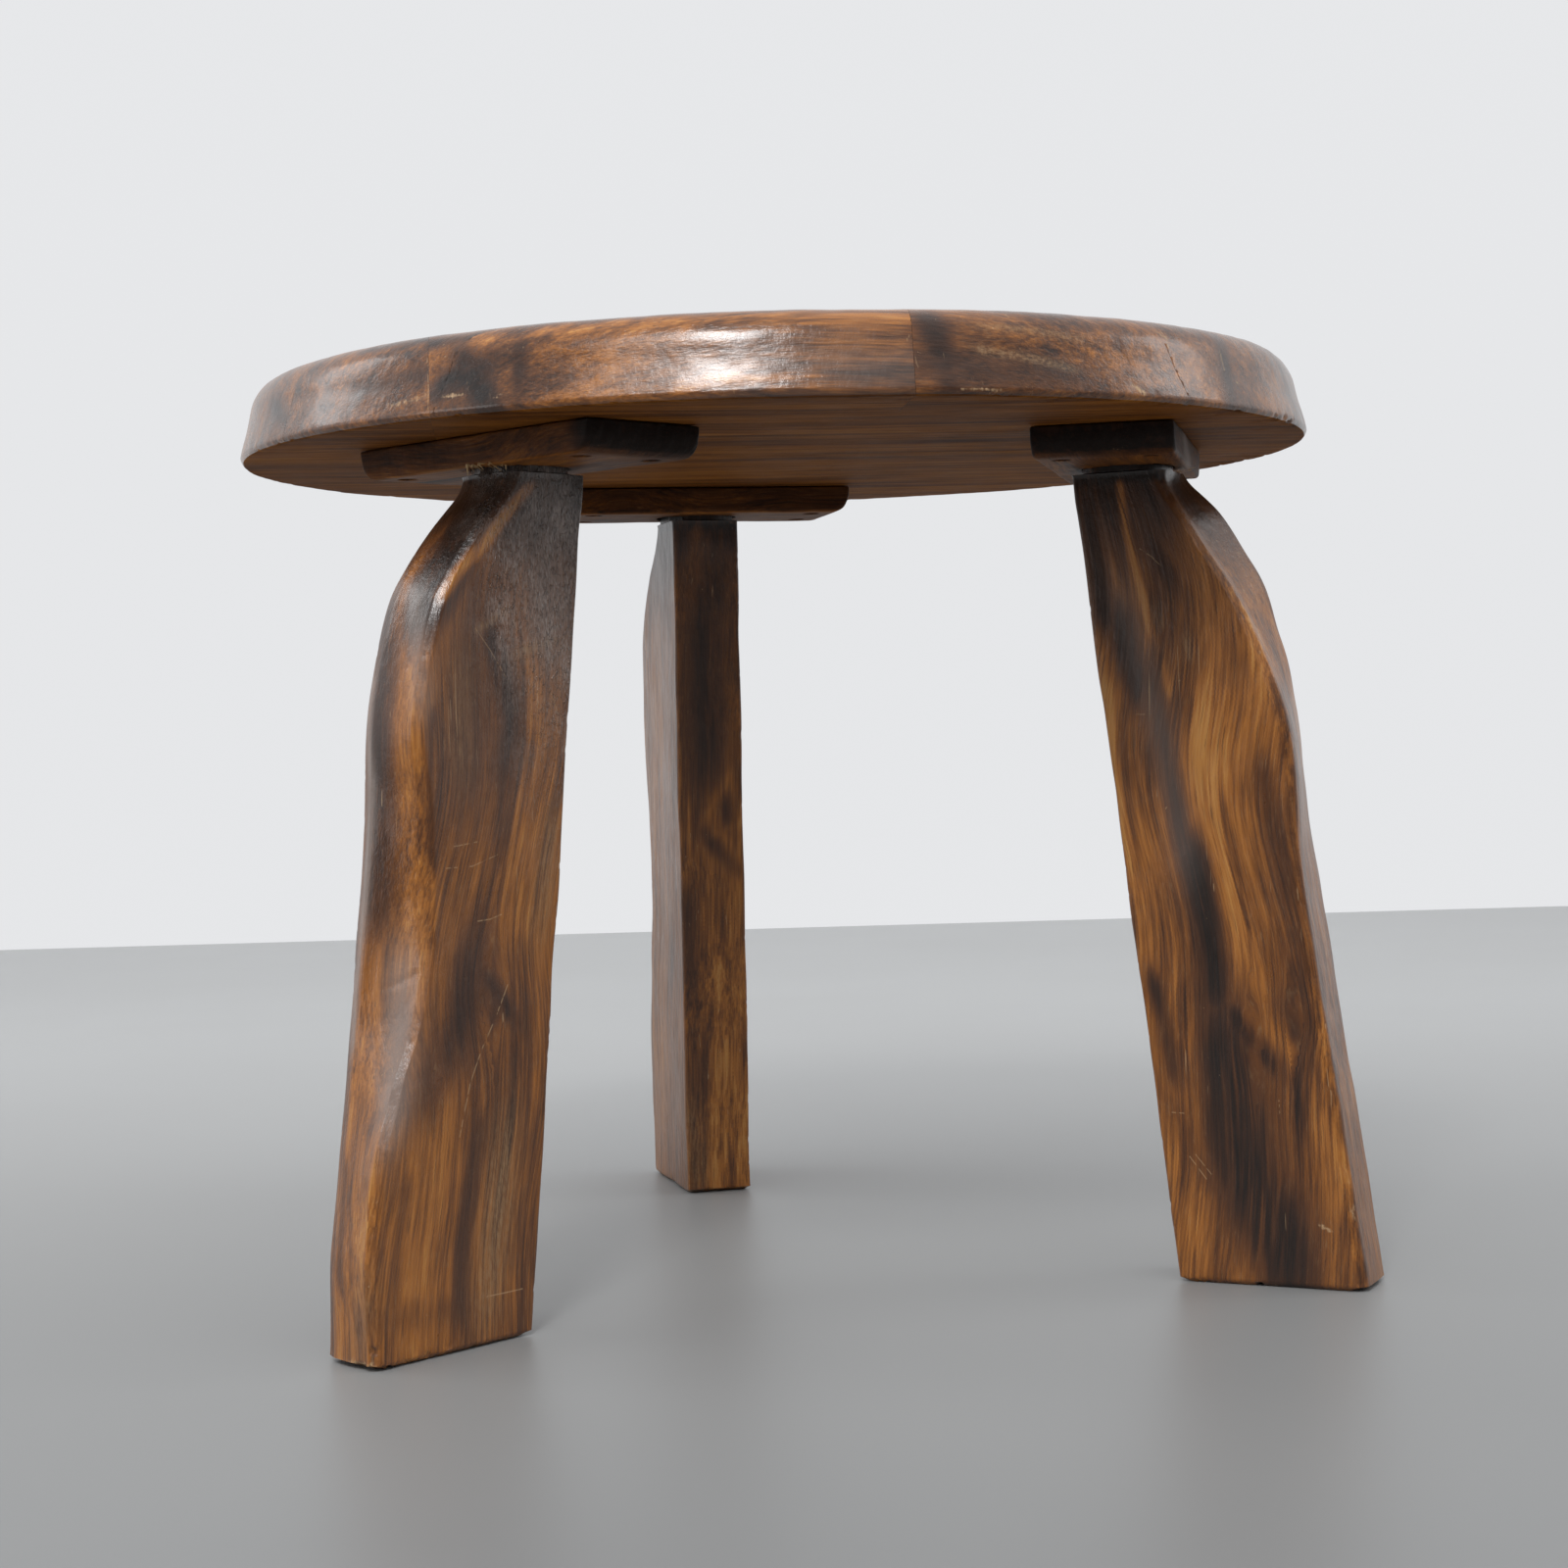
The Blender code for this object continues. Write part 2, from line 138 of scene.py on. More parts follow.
def edit(piece: bpy.types.Object, *steps: Callable[[], set[str]]) -> None:
    """Runs operators on the whole of a mesh in edit mode.

    Args:
        piece: the object.
        steps: the operators, run in this order.
    """
    only(piece)
    bpy.ops.object.mode_set(mode="EDIT")
    for step in steps:
        bpy.ops.mesh.select_all(action="SELECT")
        step()
    bpy.ops.object.mode_set(mode="OBJECT")


def duplicate(source: bpy.types.Object, name: str) -> bpy.types.Object:
    """Copies an object with its mesh, under a new name.

    Args:
        source: the object to copy.
        name: the copy's name.

    Returns:
        The copy.
    """
    copy = source.copy()
    copy.data = source.data.copy()
    copy.name = copy.data.name = name
    bpy.context.collection.objects.link(copy)
    return copy


def spun(name: str, outline: Sequence[tuple[float, float]], steps: int, merge: float) -> bpy.types.Object:
    """Spins an outline once round the Z axis.

    Args:
        name: the new object's name.
        outline: distance from the axis and height of each point.
        steps: how many steps make the full turn.
        merge: the distance under which points become one.

    Returns:
        The new object, closed along its seam.
    """
    mesh = bpy.data.meshes.new(name)
    mesh.from_pydata([(r, 0.0, z) for r, z in outline], [(i, i + 1) for i in range(len(outline) - 1)], [])
    piece = bpy.data.objects.new(name, mesh)
    bpy.context.collection.objects.link(piece)
    edit(
        piece,
        lambda: bpy.ops.mesh.spin(steps=steps, angle=2.0 * math.pi, center=(0, 0, 0), axis=(0, 0, 1)),
        lambda: bpy.ops.mesh.remove_doubles(threshold=merge),
        lambda: bpy.ops.mesh.normals_make_consistent(inside=False),
    )
    return piece


def dress(pieces: Sequence[bpy.types.Object], *materials: bpy.types.Material) -> None:
    """Gives pieces their materials.

    Args:
        pieces: the objects.
        materials: the materials, in the order of their slots.
    """
    for piece in pieces:
        piece.data.materials.clear()
        for material in materials:
            piece.data.materials.append(material)


def points_of(piece: bpy.types.Object) -> np.ndarray:
    """The vertices of a mesh as rows of x, y and z.

    Args:
        piece: the object.

    Returns:
        One row for each vertex, in metres.
    """
    flat = np.empty(len(piece.data.vertices) * 3)
    piece.data.vertices.foreach_get("co", flat)
    return flat.reshape(-1, 3)


def move_points(piece: bpy.types.Object, points: np.ndarray) -> None:
    """Writes the vertices of a mesh back from rows of x, y and z."""
    piece.data.vertices.foreach_set("co", points.ravel())
    piece.data.update()


def normals_of(piece: bpy.types.Object) -> np.ndarray:
    """The vertex normals of a mesh.

    Args:
        piece: the object.

    Returns:
        One row for each vertex, of length 1.
    """
    flat = np.empty(len(piece.data.vertices) * 3)
    piece.data.vertex_normals.foreach_get("vector", flat)
    return flat.reshape(-1, 3)


def write_field(piece: bpy.types.Object, name: str, values: np.ndarray) -> None:
    """Stores one number, or one vector, for each vertex of a mesh.

    Args:
        piece: the object.
        name: the field's name.
        values: one number or one row for each vertex.
    """
    kind, key = ("FLOAT_VECTOR", "vector") if values.ndim == 2 else ("FLOAT", "value")
    attribute = piece.data.attributes.new(name, kind, "POINT")
    attribute.data.foreach_set(key, np.ascontiguousarray(values, dtype=np.float32).ravel())


def smooth(piece: bpy.types.Object, angle: float = math.radians(40)) -> None:
    """Shades a mesh smooth except across its sharp edges."""
    only(piece)
    bpy.ops.object.shade_smooth_by_angle(angle=angle)


def ease(values: np.ndarray, low: float, high: float) -> np.ndarray:
    """A smooth step from 0 at low to 1 at high."""
    share = np.clip((values - low) / (high - low), 0.0, 1.0)
    return share * share * (3.0 - 2.0 * share)


@dataclass(frozen=True)
class Ripple:
    """A seeded sum of waves: a smooth random field over space, about -1 to 1."""

    seed: int
    shortest: float
    longest: float
    waves: int = 22
    stretch: tuple[float, float, float] = (1.0, 1.0, 1.0)

    def at(self, points: np.ndarray) -> np.ndarray:
        """The field at each point.

        Args:
            points: rows of x, y and z, in metres.

        Returns:
            One number for each point.
        """
        rng = np.random.default_rng(self.seed)
        heading = rng.normal(size=(self.waves, 3))
        heading /= np.linalg.norm(heading, axis=1)[:, None]
        length = self.shortest * (self.longest / self.shortest) ** rng.random(self.waves)
        vectors = heading * (2.0 * math.pi / length)[:, None] * np.array(self.stretch)
        phases = rng.random(self.waves) * 2.0 * math.pi
        return np.sin(points @ vectors.T + phases).sum(axis=1) / math.sqrt(self.waves / 2.0)


def cad_points(node: str) -> np.ndarray:
    """The vertices of a CAD node."""
    return points_of(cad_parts[node])


def broadest_side(node: str) -> Vector:
    """The outward normal of the largest upright flat of a CAD node.

    Args:
        node: the name of a CAD node.

    Returns:
        A level vector of length 1.
    """
    areas: dict[tuple[float, float, float], float] = {}
    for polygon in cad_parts[node].data.polygons:
        if abs(polygon.normal.z) < UPRIGHT:
            key = tuple(round(value, 2) for value in polygon.normal)
            areas[key] = areas.get(key, 0.0) + polygon.area
    return Vector(max(areas, key=areas.get)).normalized()


def tenon_axis(station: str) -> Vector:
    """The foot of the upright axis of a leg's tenon, from the top of its solid.

    Args:
        station: the leg's place.

    Returns:
        A point at height 0.
    """
    points = cad_points(f"leg_{station}")
    head = points[points[:, 2] > points[:, 2].max() - 1.0 * MM]
    return Vector((head[:, 0].mean(), head[:, 1].mean(), 0.0))


# The photograph's camera, and marks placed by its pixels


@dataclass(frozen=True)
class PhotoCamera:
    """Where the photograph was taken from, measured from the table's axis, in the photograph's own pixels."""

    frame_pixels: float = 1600.0
    focal_pixels: float = 2831.7
    distance: float = 1.59216
    height: float = 0.30304
    yaw: float = math.radians(0.02)
    pitch: float = math.radians(-1.13)
    roll: float = math.radians(-1.61)
    sensor_mm: float = 36.0

    def axis(self) -> Vector:
        """The foot of the table top's axis, from the boards' solids.

        Returns:
            A point at height 0.
        """
        points = np.concatenate([cad_points(name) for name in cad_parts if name.startswith("top_board_")])
        middle = (points.min(axis=0) + points.max(axis=0)) / 2.0
        return Vector((middle[0], middle[1], 0.0))

    def place(self) -> Matrix:
        """The camera's world matrix.

        Returns:
            The turn and the place in one matrix.
        """
        ahead = Vector((
            math.sin(self.yaw) * math.cos(self.pitch), math.cos(self.yaw) * math.cos(self.pitch), math.sin(self.pitch)
        ))
        right = Vector((math.cos(self.yaw), -math.sin(self.yaw), 0.0))
        up = right.cross(ahead)
        rolled_right = right * math.cos(self.roll) + up * math.sin(self.roll)
        rolled_up = up * math.cos(self.roll) - right * math.sin(self.roll)
        turn = Matrix((rolled_right, rolled_up, -ahead)).transposed().to_4x4()
        return Matrix.Translation(self.axis() + Vector((0.0, -self.distance, self.height))) @ turn

    def ray(self, pixel: Pixel) -> tuple[Vector, Vector]:
        """The start and heading of the line of sight through a pixel.

        Args:
            pixel: across and down, in the photograph's pixels.

        Returns:
            The camera's place, and a vector of length 1.
        """
        place = self.place()
        across = (pixel[0] - self.frame_pixels / 2.0) / self.focal_pixels
        down = (pixel[1] - self.frame_pixels / 2.0) / self.focal_pixels
        heading = place.to_3x3() @ Vector((across, -down, -1.0))
        return place.translation, heading.normalized()

    def make(self) -> None:
        """Makes the scene's camera."""
        data = bpy.data.cameras.new("photo_camera")
        data.sensor_fit = "HORIZONTAL"
        data.sensor_width = self.sensor_mm
        data.lens = self.focal_pixels / self.frame_pixels * self.sensor_mm
        data.clip_start, data.clip_end = 0.05, 50.0
        camera = bpy.data.objects.new("photo_camera", data)
        bpy.context.collection.objects.link(camera)
        camera.matrix_world = self.place()
        bpy.context.scene.camera = camera


class Mark(Enum):
    """The fields that a brush can paint."""

    # darkens the wood; on the legs it also carries painted shade on the tenon in the gap under the block
    STAIN_AND_SHADE = "stain_and_shade"
    HONEY = "honey"
    RUB = "rub"
    WEAR = "wear"
    BLISTER = "blister"
    # a pale sheen painted into the colour, standing in for reflections
    PAINTED_SHEEN = "painted_sheen"


@dataclass(frozen=True)
class Brush:
    """A stroke on the wood, placed by pixels of the photograph and laid on whatever the frame has there."""

    mark: Mark
    radius: float
    strength: float
    pixels: tuple[Pixel, ...]
    taper: float = 2.6

    def cover(self, points: np.ndarray, path: np.ndarray) -> np.ndarray:
        """How strongly the stroke marks each point, 0 to its strength; below zero it lifts what lies there.

        Args:
            points: rows of x, y and z, in metres.
            path: where the stroke's pixels meet the wood, as rows of x, y and z.

        Returns:
            One number for each point.
        """
        if len(path) < 2:
            return np.zeros(len(points))
        nearest = np.full(len(points), np.inf)
        for start, end in zip(path, path[1:]):
            length = np.linalg.norm(end - start)
            run = (end - start) / max(length, NONE)
            along = (points - start) @ run
            beside = np.linalg.norm(points - start - along[:, None] * run, axis=1)
            beyond = np.maximum(np.maximum(-along, along - length), 0.0) / self.taper
            nearest = np.minimum(nearest, np.hypot(beside, beyond))
        return self.strength * np.exp(-((nearest / self.radius) ** 2))


def strokes(marks: dict[Mark, Sequence[tuple]]) -> tuple[Brush, ...]:
    """Brush strokes from rows of radius in millimetres, strength and pixels, grouped by their mark.

    Args:
        marks: the rows of each mark.

    Returns:
        The strokes, mark by mark.
    """
    return tuple(
        Brush(mark, radius * MM, strength, tuple(pixels))
        for mark, rows in marks.items() for radius, strength, *pixels in rows
    )


@dataclass(frozen=True)
class Scratch:
    """A thin pale line in the lacquer, between pixels of the photograph."""

    width: float
    strength: float
    pixels: tuple[Pixel, ...]


def scratches(*rows: tuple) -> tuple[Scratch, ...]:
    """Scratches from rows of width in millimetres, strength and pixels."""
    return tuple(Scratch(width * MM, strength, tuple(pixels)) for width, strength, *pixels in rows)


def located(camera: PhotoCamera, solid: BVHTree, pixels: Sequence[Pixel]) -> np.ndarray:
    """Where pixels of the photograph meet a solid; those that miss it are left out."""
    hits = [solid.ray_cast(*camera.ray(pixel))[0] for pixel in pixels]
    return np.array([hit for hit in hits if hit is not None])


def solid_tree(piece: bpy.types.Object) -> BVHTree:
    """A tree for casting rays at a mesh."""
    return BVHTree.FromPolygons([v.co for v in piece.data.vertices], [p.vertices for p in piece.data.polygons])


def paint(piece: bpy.types.Object, brushes: Sequence[Brush], camera: PhotoCamera, base: dict[Mark, np.ndarray]) -> None:
    """Writes every mark's field on a piece.

    Args:
        piece: the finished mesh.
        brushes: the strokes that lie on it.
        camera: the photograph's camera.
        base: fields that the piece already has, such as the wear along its edges.
    """
    points, solid = points_of(piece), solid_tree(piece)
    for mark in Mark:
        values = base.get(mark, np.zeros(len(points)))
        for brush in brushes:
            if brush.mark is mark:
                cover = brush.cover(points, located(camera, solid, brush.pixels))
                values = np.maximum(values, cover) if brush.strength > 0.0 else values * (1.0 + cover)
        write_field(piece, mark.value, values)


# Materials


class Recipe:
    """Builds the node tree of one material."""

    def __init__(self, name: str) -> None:
        """Starts a material that holds a Principled shader alone.

        Args:
            name: the material's name.
        """
        self.material = bpy.data.materials.new(name)
        self.material.use_nodes = True
        self.tree = self.material.node_tree
        self.shader = self.tree.nodes["Principled BSDF"]

    def add(self, kind: str, values: dict[int | str, object] | None = None, **settings: object) -> bpy.types.Node:
        """Adds a node, with its settings, input values and links.

        Args:
            kind: Blender's name for the node.
            values: what goes into its inputs, by number or name.
            settings: the node's own settings.

        Returns:
            The node.
        """
        node = self.tree.nodes.new(kind)
        for key, value in settings.items():
            setattr(node, key, value)
        for key, value in (values or {}).items():
            self.feed(node.inputs[key], value)
        return node

    def feed(self, socket: Socket, value: object) -> None:
        """Links a socket to another, or sets its value.

        Args:
            socket: the socket to fill.
            value: another socket or a plain value.
        """
        if isinstance(value, bpy.types.NodeSocket):
            self.tree.links.new(value, socket)
        else:
            socket.default_value = value

    def field(self, name: str) -> Socket:
        """A number stored on the vertices."""
        return self.add("ShaderNodeAttribute", attribute_name=name).outputs["Fac"]

    def vector(self, name: str) -> Socket:
        """A vector stored on the vertices."""
        return self.add("ShaderNodeAttribute", attribute_name=name).outputs["Vector"]

    def place(self) -> Socket:
        """The object's own coordinates."""
        return self.add("ShaderNodeTexCoord").outputs["Object"]

    def stretch(self, vector: Socket, scale: Triple, shift: Triple = (0.0, 0.0, 0.0)) -> Socket:
        """A vector scaled along each axis, then shifted.

        Args:
            vector: the coordinates to read.
            scale: the factor along each axis.
            shift: what is added along each axis.

        Returns:
            The new vector.
        """
        return self.add(
            "ShaderNodeVectorMath", {0: vector, 1: scale, 2: shift}, operation="MULTIPLY_ADD"
        ).outputs["Vector"]

    def noise(
        self, vector: Socket, scale: Triple, detail: float = 3.0, roughness: float = 0.5, twist: float = 0.0,
        shift: float = 0.0,
    ) -> Socket:
        """Stretched noise, 0 to 1, with its cells per metre along each axis.

        Args:
            vector: the coordinates to read.
            scale: cells per metre along each axis.
            detail: how many finer layers there are.
            roughness: how strong the finer layers are.
            twist: how much the cells are distorted.
            shift: a shift that makes one noise unlike another.

        Returns:
            The noise.
        """
        spread = self.stretch(vector, scale, (shift, shift, shift))
        values = {"Vector": spread, "Scale": 1.0, "Detail": detail, "Roughness": roughness, "Distortion": twist}
        return self.add("ShaderNodeTexNoise", values).outputs["Fac"]

    def span(self, value: Socket, low: float, high: float, start: float = 0.0, end: float = 1.0) -> Socket:
        """A smooth step between two values.

        Args:
            value: the number to read.
            low: where the step starts.
            high: where the step ends.
            start: the result at low.
            end: the result at high.

        Returns:
            The number between start and end.
        """
        return self.add(
            "ShaderNodeMapRange", {"Value": value, 1: low, 2: high, 3: start, 4: end}, interpolation_type="SMOOTHSTEP"
        ).outputs["Result"]

    def math(self, operation: str, *values: object, clamp: bool = False) -> Socket:
        """One step of arithmetic.

        Args:
            operation: Blender's name for the operation.
            values: its numbers or sockets.
            clamp: whether the result is held to 0 to 1.

        Returns:
            The result.
        """
        return self.add(
            "ShaderNodeMath", dict(enumerate(values)), operation=operation, use_clamp=clamp
        ).outputs["Value"]

    def sum(self, *parts: tuple[Socket, float], start: float = 0.0) -> Socket:
        """A weighted sum of fields.

        Args:
            parts: each field with its weight.
            start: the number that they are added to.

        Returns:
            The sum.
        """
        total: object = start
        for socket, weight in parts:
            total = self.math("MULTIPLY_ADD", socket, weight, total)
        return total

    def ramp(self, value: Socket, stops: Sequence[tuple[float, Colour]]) -> Socket:
        """A colour ramp.

        Args:
            value: the number to read.
            stops: each position with its colour.

        Returns:
            The colour.
        """
        node = self.add("ShaderNodeValToRGB", {"Fac": value})
        elements = node.color_ramp.elements
        while len(elements) < len(stops):
            elements.new(0.5)
        for element, (position, colour) in zip(elements, stops):
            element.position = position
            element.color = (*colour, 1.0)
        return node.outputs["Color"]

    def blend(self, factor: object, first: object, second: object) -> Socket:
        """Mixes two colours."""
        values = [value if isinstance(value, bpy.types.NodeSocket) else (*value, 1.0) for value in (first, second)]
        return self.add("ShaderNodeMix", {0: factor, 6: values[0], 7: values[1]}, data_type="RGBA").outputs[2]

    def bump(self, height: Socket, distance: float, strength: float = 1.0, below: Socket | None = None) -> Socket:
        """Turns a height field into a bent normal.

        Args:
            height: the height field.
            distance: the height of 1, in metres.
            strength: the share of it that shows.
            below: the normal that it bends further.

        Returns:
            The normal.
        """
        values = {"Height": height, "Distance": distance, "Strength": strength}
        if below is not None:
            values["Normal"] = below
        return self.add("ShaderNodeBump", values).outputs["Normal"]

    def shade(self, **values: object) -> bpy.types.Material:
        """Feeds the shader's sockets, named with underscores, and returns the material.

        Args:
            values: a socket or a value for each input.

        Returns:
            The material.
        """
        for key, value in values.items():
            self.feed(self.shader.inputs[key.replace("_", " ")], value)
        return self.material


@dataclass(frozen=True)
class Palette:
    """The colours of one stained wood, from its deepest stain to bare worn wood."""

    black: Colour = (0.0105, 0.0058, 0.0042)
    dark: Colour = (0.036, 0.0135, 0.0060)
    brown: Colour = (0.100, 0.0335, 0.0080)
    warm: Colour = (0.190, 0.065, 0.0105)
    amber: Colour = (0.300, 0.108, 0.0170)
    honey: Colour = (0.400, 0.180, 0.0400)
    rubbed: Colour = (0.250, 0.150, 0.0700)
    worn: Colour = (0.430, 0.280, 0.1450)


Line = tuple[float, float, list[Vector]]


@dataclass(frozen=True)
class LacquerWood:
    """Stained hardwood under old satin lacquer. Its fibre field holds two ways across the grain and one along."""

    name: str
    palette: Palette = field(default_factory=Palette)
    tone: float = 0.595
    bands: Triple = (26.0, 20.0, 1.7)
    streaks: Triple = (115.0, 90.0, 4.6)
    strands: Triple = (330.0, 260.0, 12.0)
    threads: Triple = (900.0, 760.0, 30.0)
    clouds: Triple = (11.0, 11.0, 8.0)
    pores: Triple = (1500.0, 1300.0, 42.0)
    flecks: Triple = (1900.0, 1700.0, 110.0)
    weights: tuple[float, float, float, float, float] = (0.75, 0.80, 0.68, 0.72, 0.55)
    roughness: float = 0.33
    coat: float = 0.24
    coat_roughness: float = 0.16
    honey_lift: float = 0.24
    stain_and_shade_drop: float = 0.62
    rub_share: float = 0.75
    wear_share: float = 0.85
    glint_share: float = 0.85
    specular: float = 0.48
    grain_depth: float = 0.22 * MM
    flow_depth: float = 0.8 * MM
    blister_depth: float = 1.2 * MM
    hairs: float = 0.45
    # the colour of the painted glints and of the painted sheen, pale reflections laid into the colour
    glint_and_sheen: Colour = (0.30, 0.245, 0.215)
    seed: float = 0.0
    lines: tuple[Line, ...] = ()

    def make(self) -> bpy.types.Material:
        """Builds the material.

        Returns:
            The material.
        """
        recipe = Recipe(self.name)
        fibre, place = recipe.vector("fibre"), recipe.place()
        layers = [
            recipe.noise(fibre, self.bands, 2.0, 0.55, 0.5, self.seed),
            recipe.noise(fibre, self.streaks, 3.0, 0.6, 0.3, self.seed + 3.1),
            recipe.noise(fibre, self.strands, 2.0, 0.6, 0.0, self.seed + 5.3),
            recipe.noise(fibre, self.threads, 2.0, 0.65, 0.0, self.seed + 7.7),
            recipe.noise(place, self.clouds, 3.0, 0.55, 0.8, self.seed + 1.3),
        ]
        streaks, threads, clouds = layers[1], layers[3], layers[4]
        marks = self.marks(recipe, streaks, layers[2], threads, clouds)
        tone = recipe.sum(
            *zip(layers, self.weights), (marks["honey"], self.honey_lift), (marks["stain_and_shade"], -self.stain_and_shade_drop),
            start=self.tone - 0.5 * sum(self.weights),
        )
        palette = self.palette
        stops = (
            (0.0, palette.black), (0.20, palette.dark), (0.42, palette.brown), (0.60, palette.warm),
            (0.78, palette.amber), (1.0, palette.honey),
        )
        colour = recipe.ramp(tone, stops)
        pores = recipe.noise(fibre, self.pores, 2.0, 0.5, 0.0, self.seed + 11.0)
        colour = recipe.blend(recipe.span(pores, 0.57, 0.72, 0.0, 0.55), colour, palette.dark)
        flecks = recipe.noise(fibre, self.flecks, 2.0, 0.6, 0.0, self.seed + 13.0)
        flecks = recipe.math("MULTIPLY", recipe.span(flecks, 0.54, 0.76, 0.0, 0.34), recipe.span(tone, 0.12, 0.55))
        colour = recipe.blend(flecks, colour, palette.rubbed)
        for mark, share, under in (
            ("rub", self.rub_share, palette.rubbed), ("wear", self.wear_share, palette.worn),
            ("glint_and_sheen", self.glint_share, self.glint_and_sheen),
        ):
            colour = recipe.blend(recipe.math("MULTIPLY", marks[mark], share), colour, under)
        # painted sheen: the pale reflection colour laid in where the sheen field is painted
        colour = recipe.blend(recipe.field(Mark.PAINTED_SHEEN.value), colour, self.glint_and_sheen)
        colour = self.scratched(recipe, place, colour)
        gloss = recipe.noise(place, (38.0, 38.0, 38.0), 4.0, 0.6, 0.0, self.seed + 5.0)
        roughness = recipe.sum(
            (gloss, 0.24), (marks["wear"], 0.28), (marks["rub"], 0.12), (streaks, 0.08), (marks["blister"], -0.12),
            start=self.roughness - 0.16,
        )
        return recipe.shade(
            Base_Color=colour, Roughness=roughness, Coat_Weight=self.coat, Coat_Roughness=self.coat_roughness,
            Specular_IOR_Level=self.specular, Normal=self.relief(recipe, place, threads, layers[2], pores, marks),
        )

    def marks(
        self, recipe: Recipe, streaks: Socket, strands: Socket, threads: Socket, clouds: Socket
    ) -> dict[str, Socket]:
        """The painted fields, broken up along the grain, and pale painted glints on blistered lacquer.

        Args:
            recipe: the material under way.
            streaks: the middle layer of the grain.
            strands: the fine layer of the grain.
            threads: the finest layer of the grain.
            clouds: slow changes that don't follow the grain.

        Returns:
            A field for each mark's name, and one for the painted glints.
        """
        ragged = recipe.sum((streaks, 2.6), (strands, 1.7), (threads, 0.9), (clouds, 1.4), start=-2.4)
        broken = {}
        for mark, low, high in ((Mark.STAIN_AND_SHADE, 0.04, 1.05), (Mark.HONEY, 0.05, 1.10)):
            broken[mark.value] = recipe.span(recipe.math("MULTIPLY", recipe.field(mark.value), ragged), low, high)
        grit = recipe.noise(recipe.place(), (900.0, 900.0, 260.0), 3.0, 0.6, 0.0, self.seed + 2.6)
        rubbed = recipe.math("MULTIPLY", recipe.field(Mark.RUB.value), recipe.span(grit, 0.34, 0.66, 0.35, 1.0))
        broken["rub"] = recipe.math("MULTIPLY", rubbed, recipe.span(threads, 0.36, 0.62, 0.35, 1.2), clamp=True)
        flakes = recipe.noise(recipe.place(), (520.0, 520.0, 210.0), 6.0, 0.72, 0.0, self.seed + 2.0)
        worn = recipe.sum((recipe.field(Mark.WEAR.value), 1.0), (flakes, 1.5), start=-1.0)
        broken["wear"] = recipe.span(worn, 0.30, 0.80)
        broken["blister"] = recipe.field(Mark.BLISTER.value)
        # pale painted glints, in fine specks over the blistered lacquer
        glint_specks = recipe.noise(recipe.place(), (1500.0, 1500.0, 300.0), 4.0, 0.65, 0.0, self.seed + 37.0)
        drift = recipe.noise(recipe.place(), (60.0, 60.0, 40.0), 2.0, 0.5, 0.0, self.seed + 41.0)
        glint_specks = recipe.sum((glint_specks, 1.0), (drift, 0.6), start=-0.3)
        broken["glint_and_sheen"] = recipe.math("MULTIPLY", recipe.span(glint_specks, 0.47, 0.66), broken["blister"])
        return broken

    def scratched(self, recipe: Recipe, place: Socket, colour: Socket) -> Socket:
        """Adds fine pale scratches, rubbed spots and the scratches that the photograph shows.

        Args:
            recipe: the material under way.
            place: the object's own coordinates.
            colour: the colour so far.

        Returns:
            The colour with its scratches.
        """
        hair = recipe.noise(place, (420.0, 420.0, 16.0), 1.0, 0.4, 1.2, self.seed + 17.0)
        where = recipe.noise(place, (14.0, 14.0, 9.0), 2.0, 0.5, 0.0, self.seed + 19.0)
        thin = recipe.math("MULTIPLY", recipe.span(hair, 0.735, 0.76), recipe.span(where, 0.52, 0.60))
        spots = recipe.noise(place, (260.0, 260.0, 200.0), 2.0, 0.5, 0.0, self.seed + 23.0)
        spots = recipe.math("MULTIPLY", recipe.span(spots, 0.76, 0.80), recipe.span(where, 0.50, 0.62))
        hurt = recipe.math("MAXIMUM", recipe.math("MULTIPLY", thin, self.hairs), recipe.math("MULTIPLY", spots, 0.5))
        broken = recipe.span(recipe.noise(place, (300.0, 300.0, 300.0), 2.0, 0.5, 0.0, self.seed + 27.0), 0.36, 0.52)
        for width, strength, points in self.lines:
            for start, end in zip(points, points[1:]):
                line = recipe.math("MULTIPLY", self.near_line(recipe, place, start, end, width), broken)
                hurt = recipe.math("MAXIMUM", hurt, recipe.math("MULTIPLY", line, 0.65 * strength))
        return recipe.blend(hurt, colour, self.palette.worn)

    @staticmethod
    def near_line(recipe: Recipe, place: Socket, start: Vector, end: Vector, width: float) -> Socket:
        """How near a point is to a straight line between two places: 1 on it, 0 beyond half its width.

        Args:
            recipe: the material under way.
            place: the object's own coordinates.
            start: one end of the line.
            end: its other end.
            width: its width.

        Returns:
            The number.
        """
        run = end - start
        along = recipe.add("ShaderNodeVectorMath", {0: place, 1: start}, operation="SUBTRACT").outputs["Vector"]
        share = recipe.add(
            "ShaderNodeVectorMath", {0: along, 1: run / max(run.length_squared, NONE**2)}, operation="DOT_PRODUCT"
        ).outputs["Value"]
        share = recipe.math("ADD", share, 0.0, clamp=True)
        foot = recipe.add("ShaderNodeVectorMath", {0: run, "Scale": share}, operation="SCALE").outputs["Vector"]
        gap = recipe.add("ShaderNodeVectorMath", {0: along, 1: foot}, operation="DISTANCE").outputs["Value"]
        return recipe.span(gap, 0.2 * width, 0.5 * width, 1.0, 0.0)

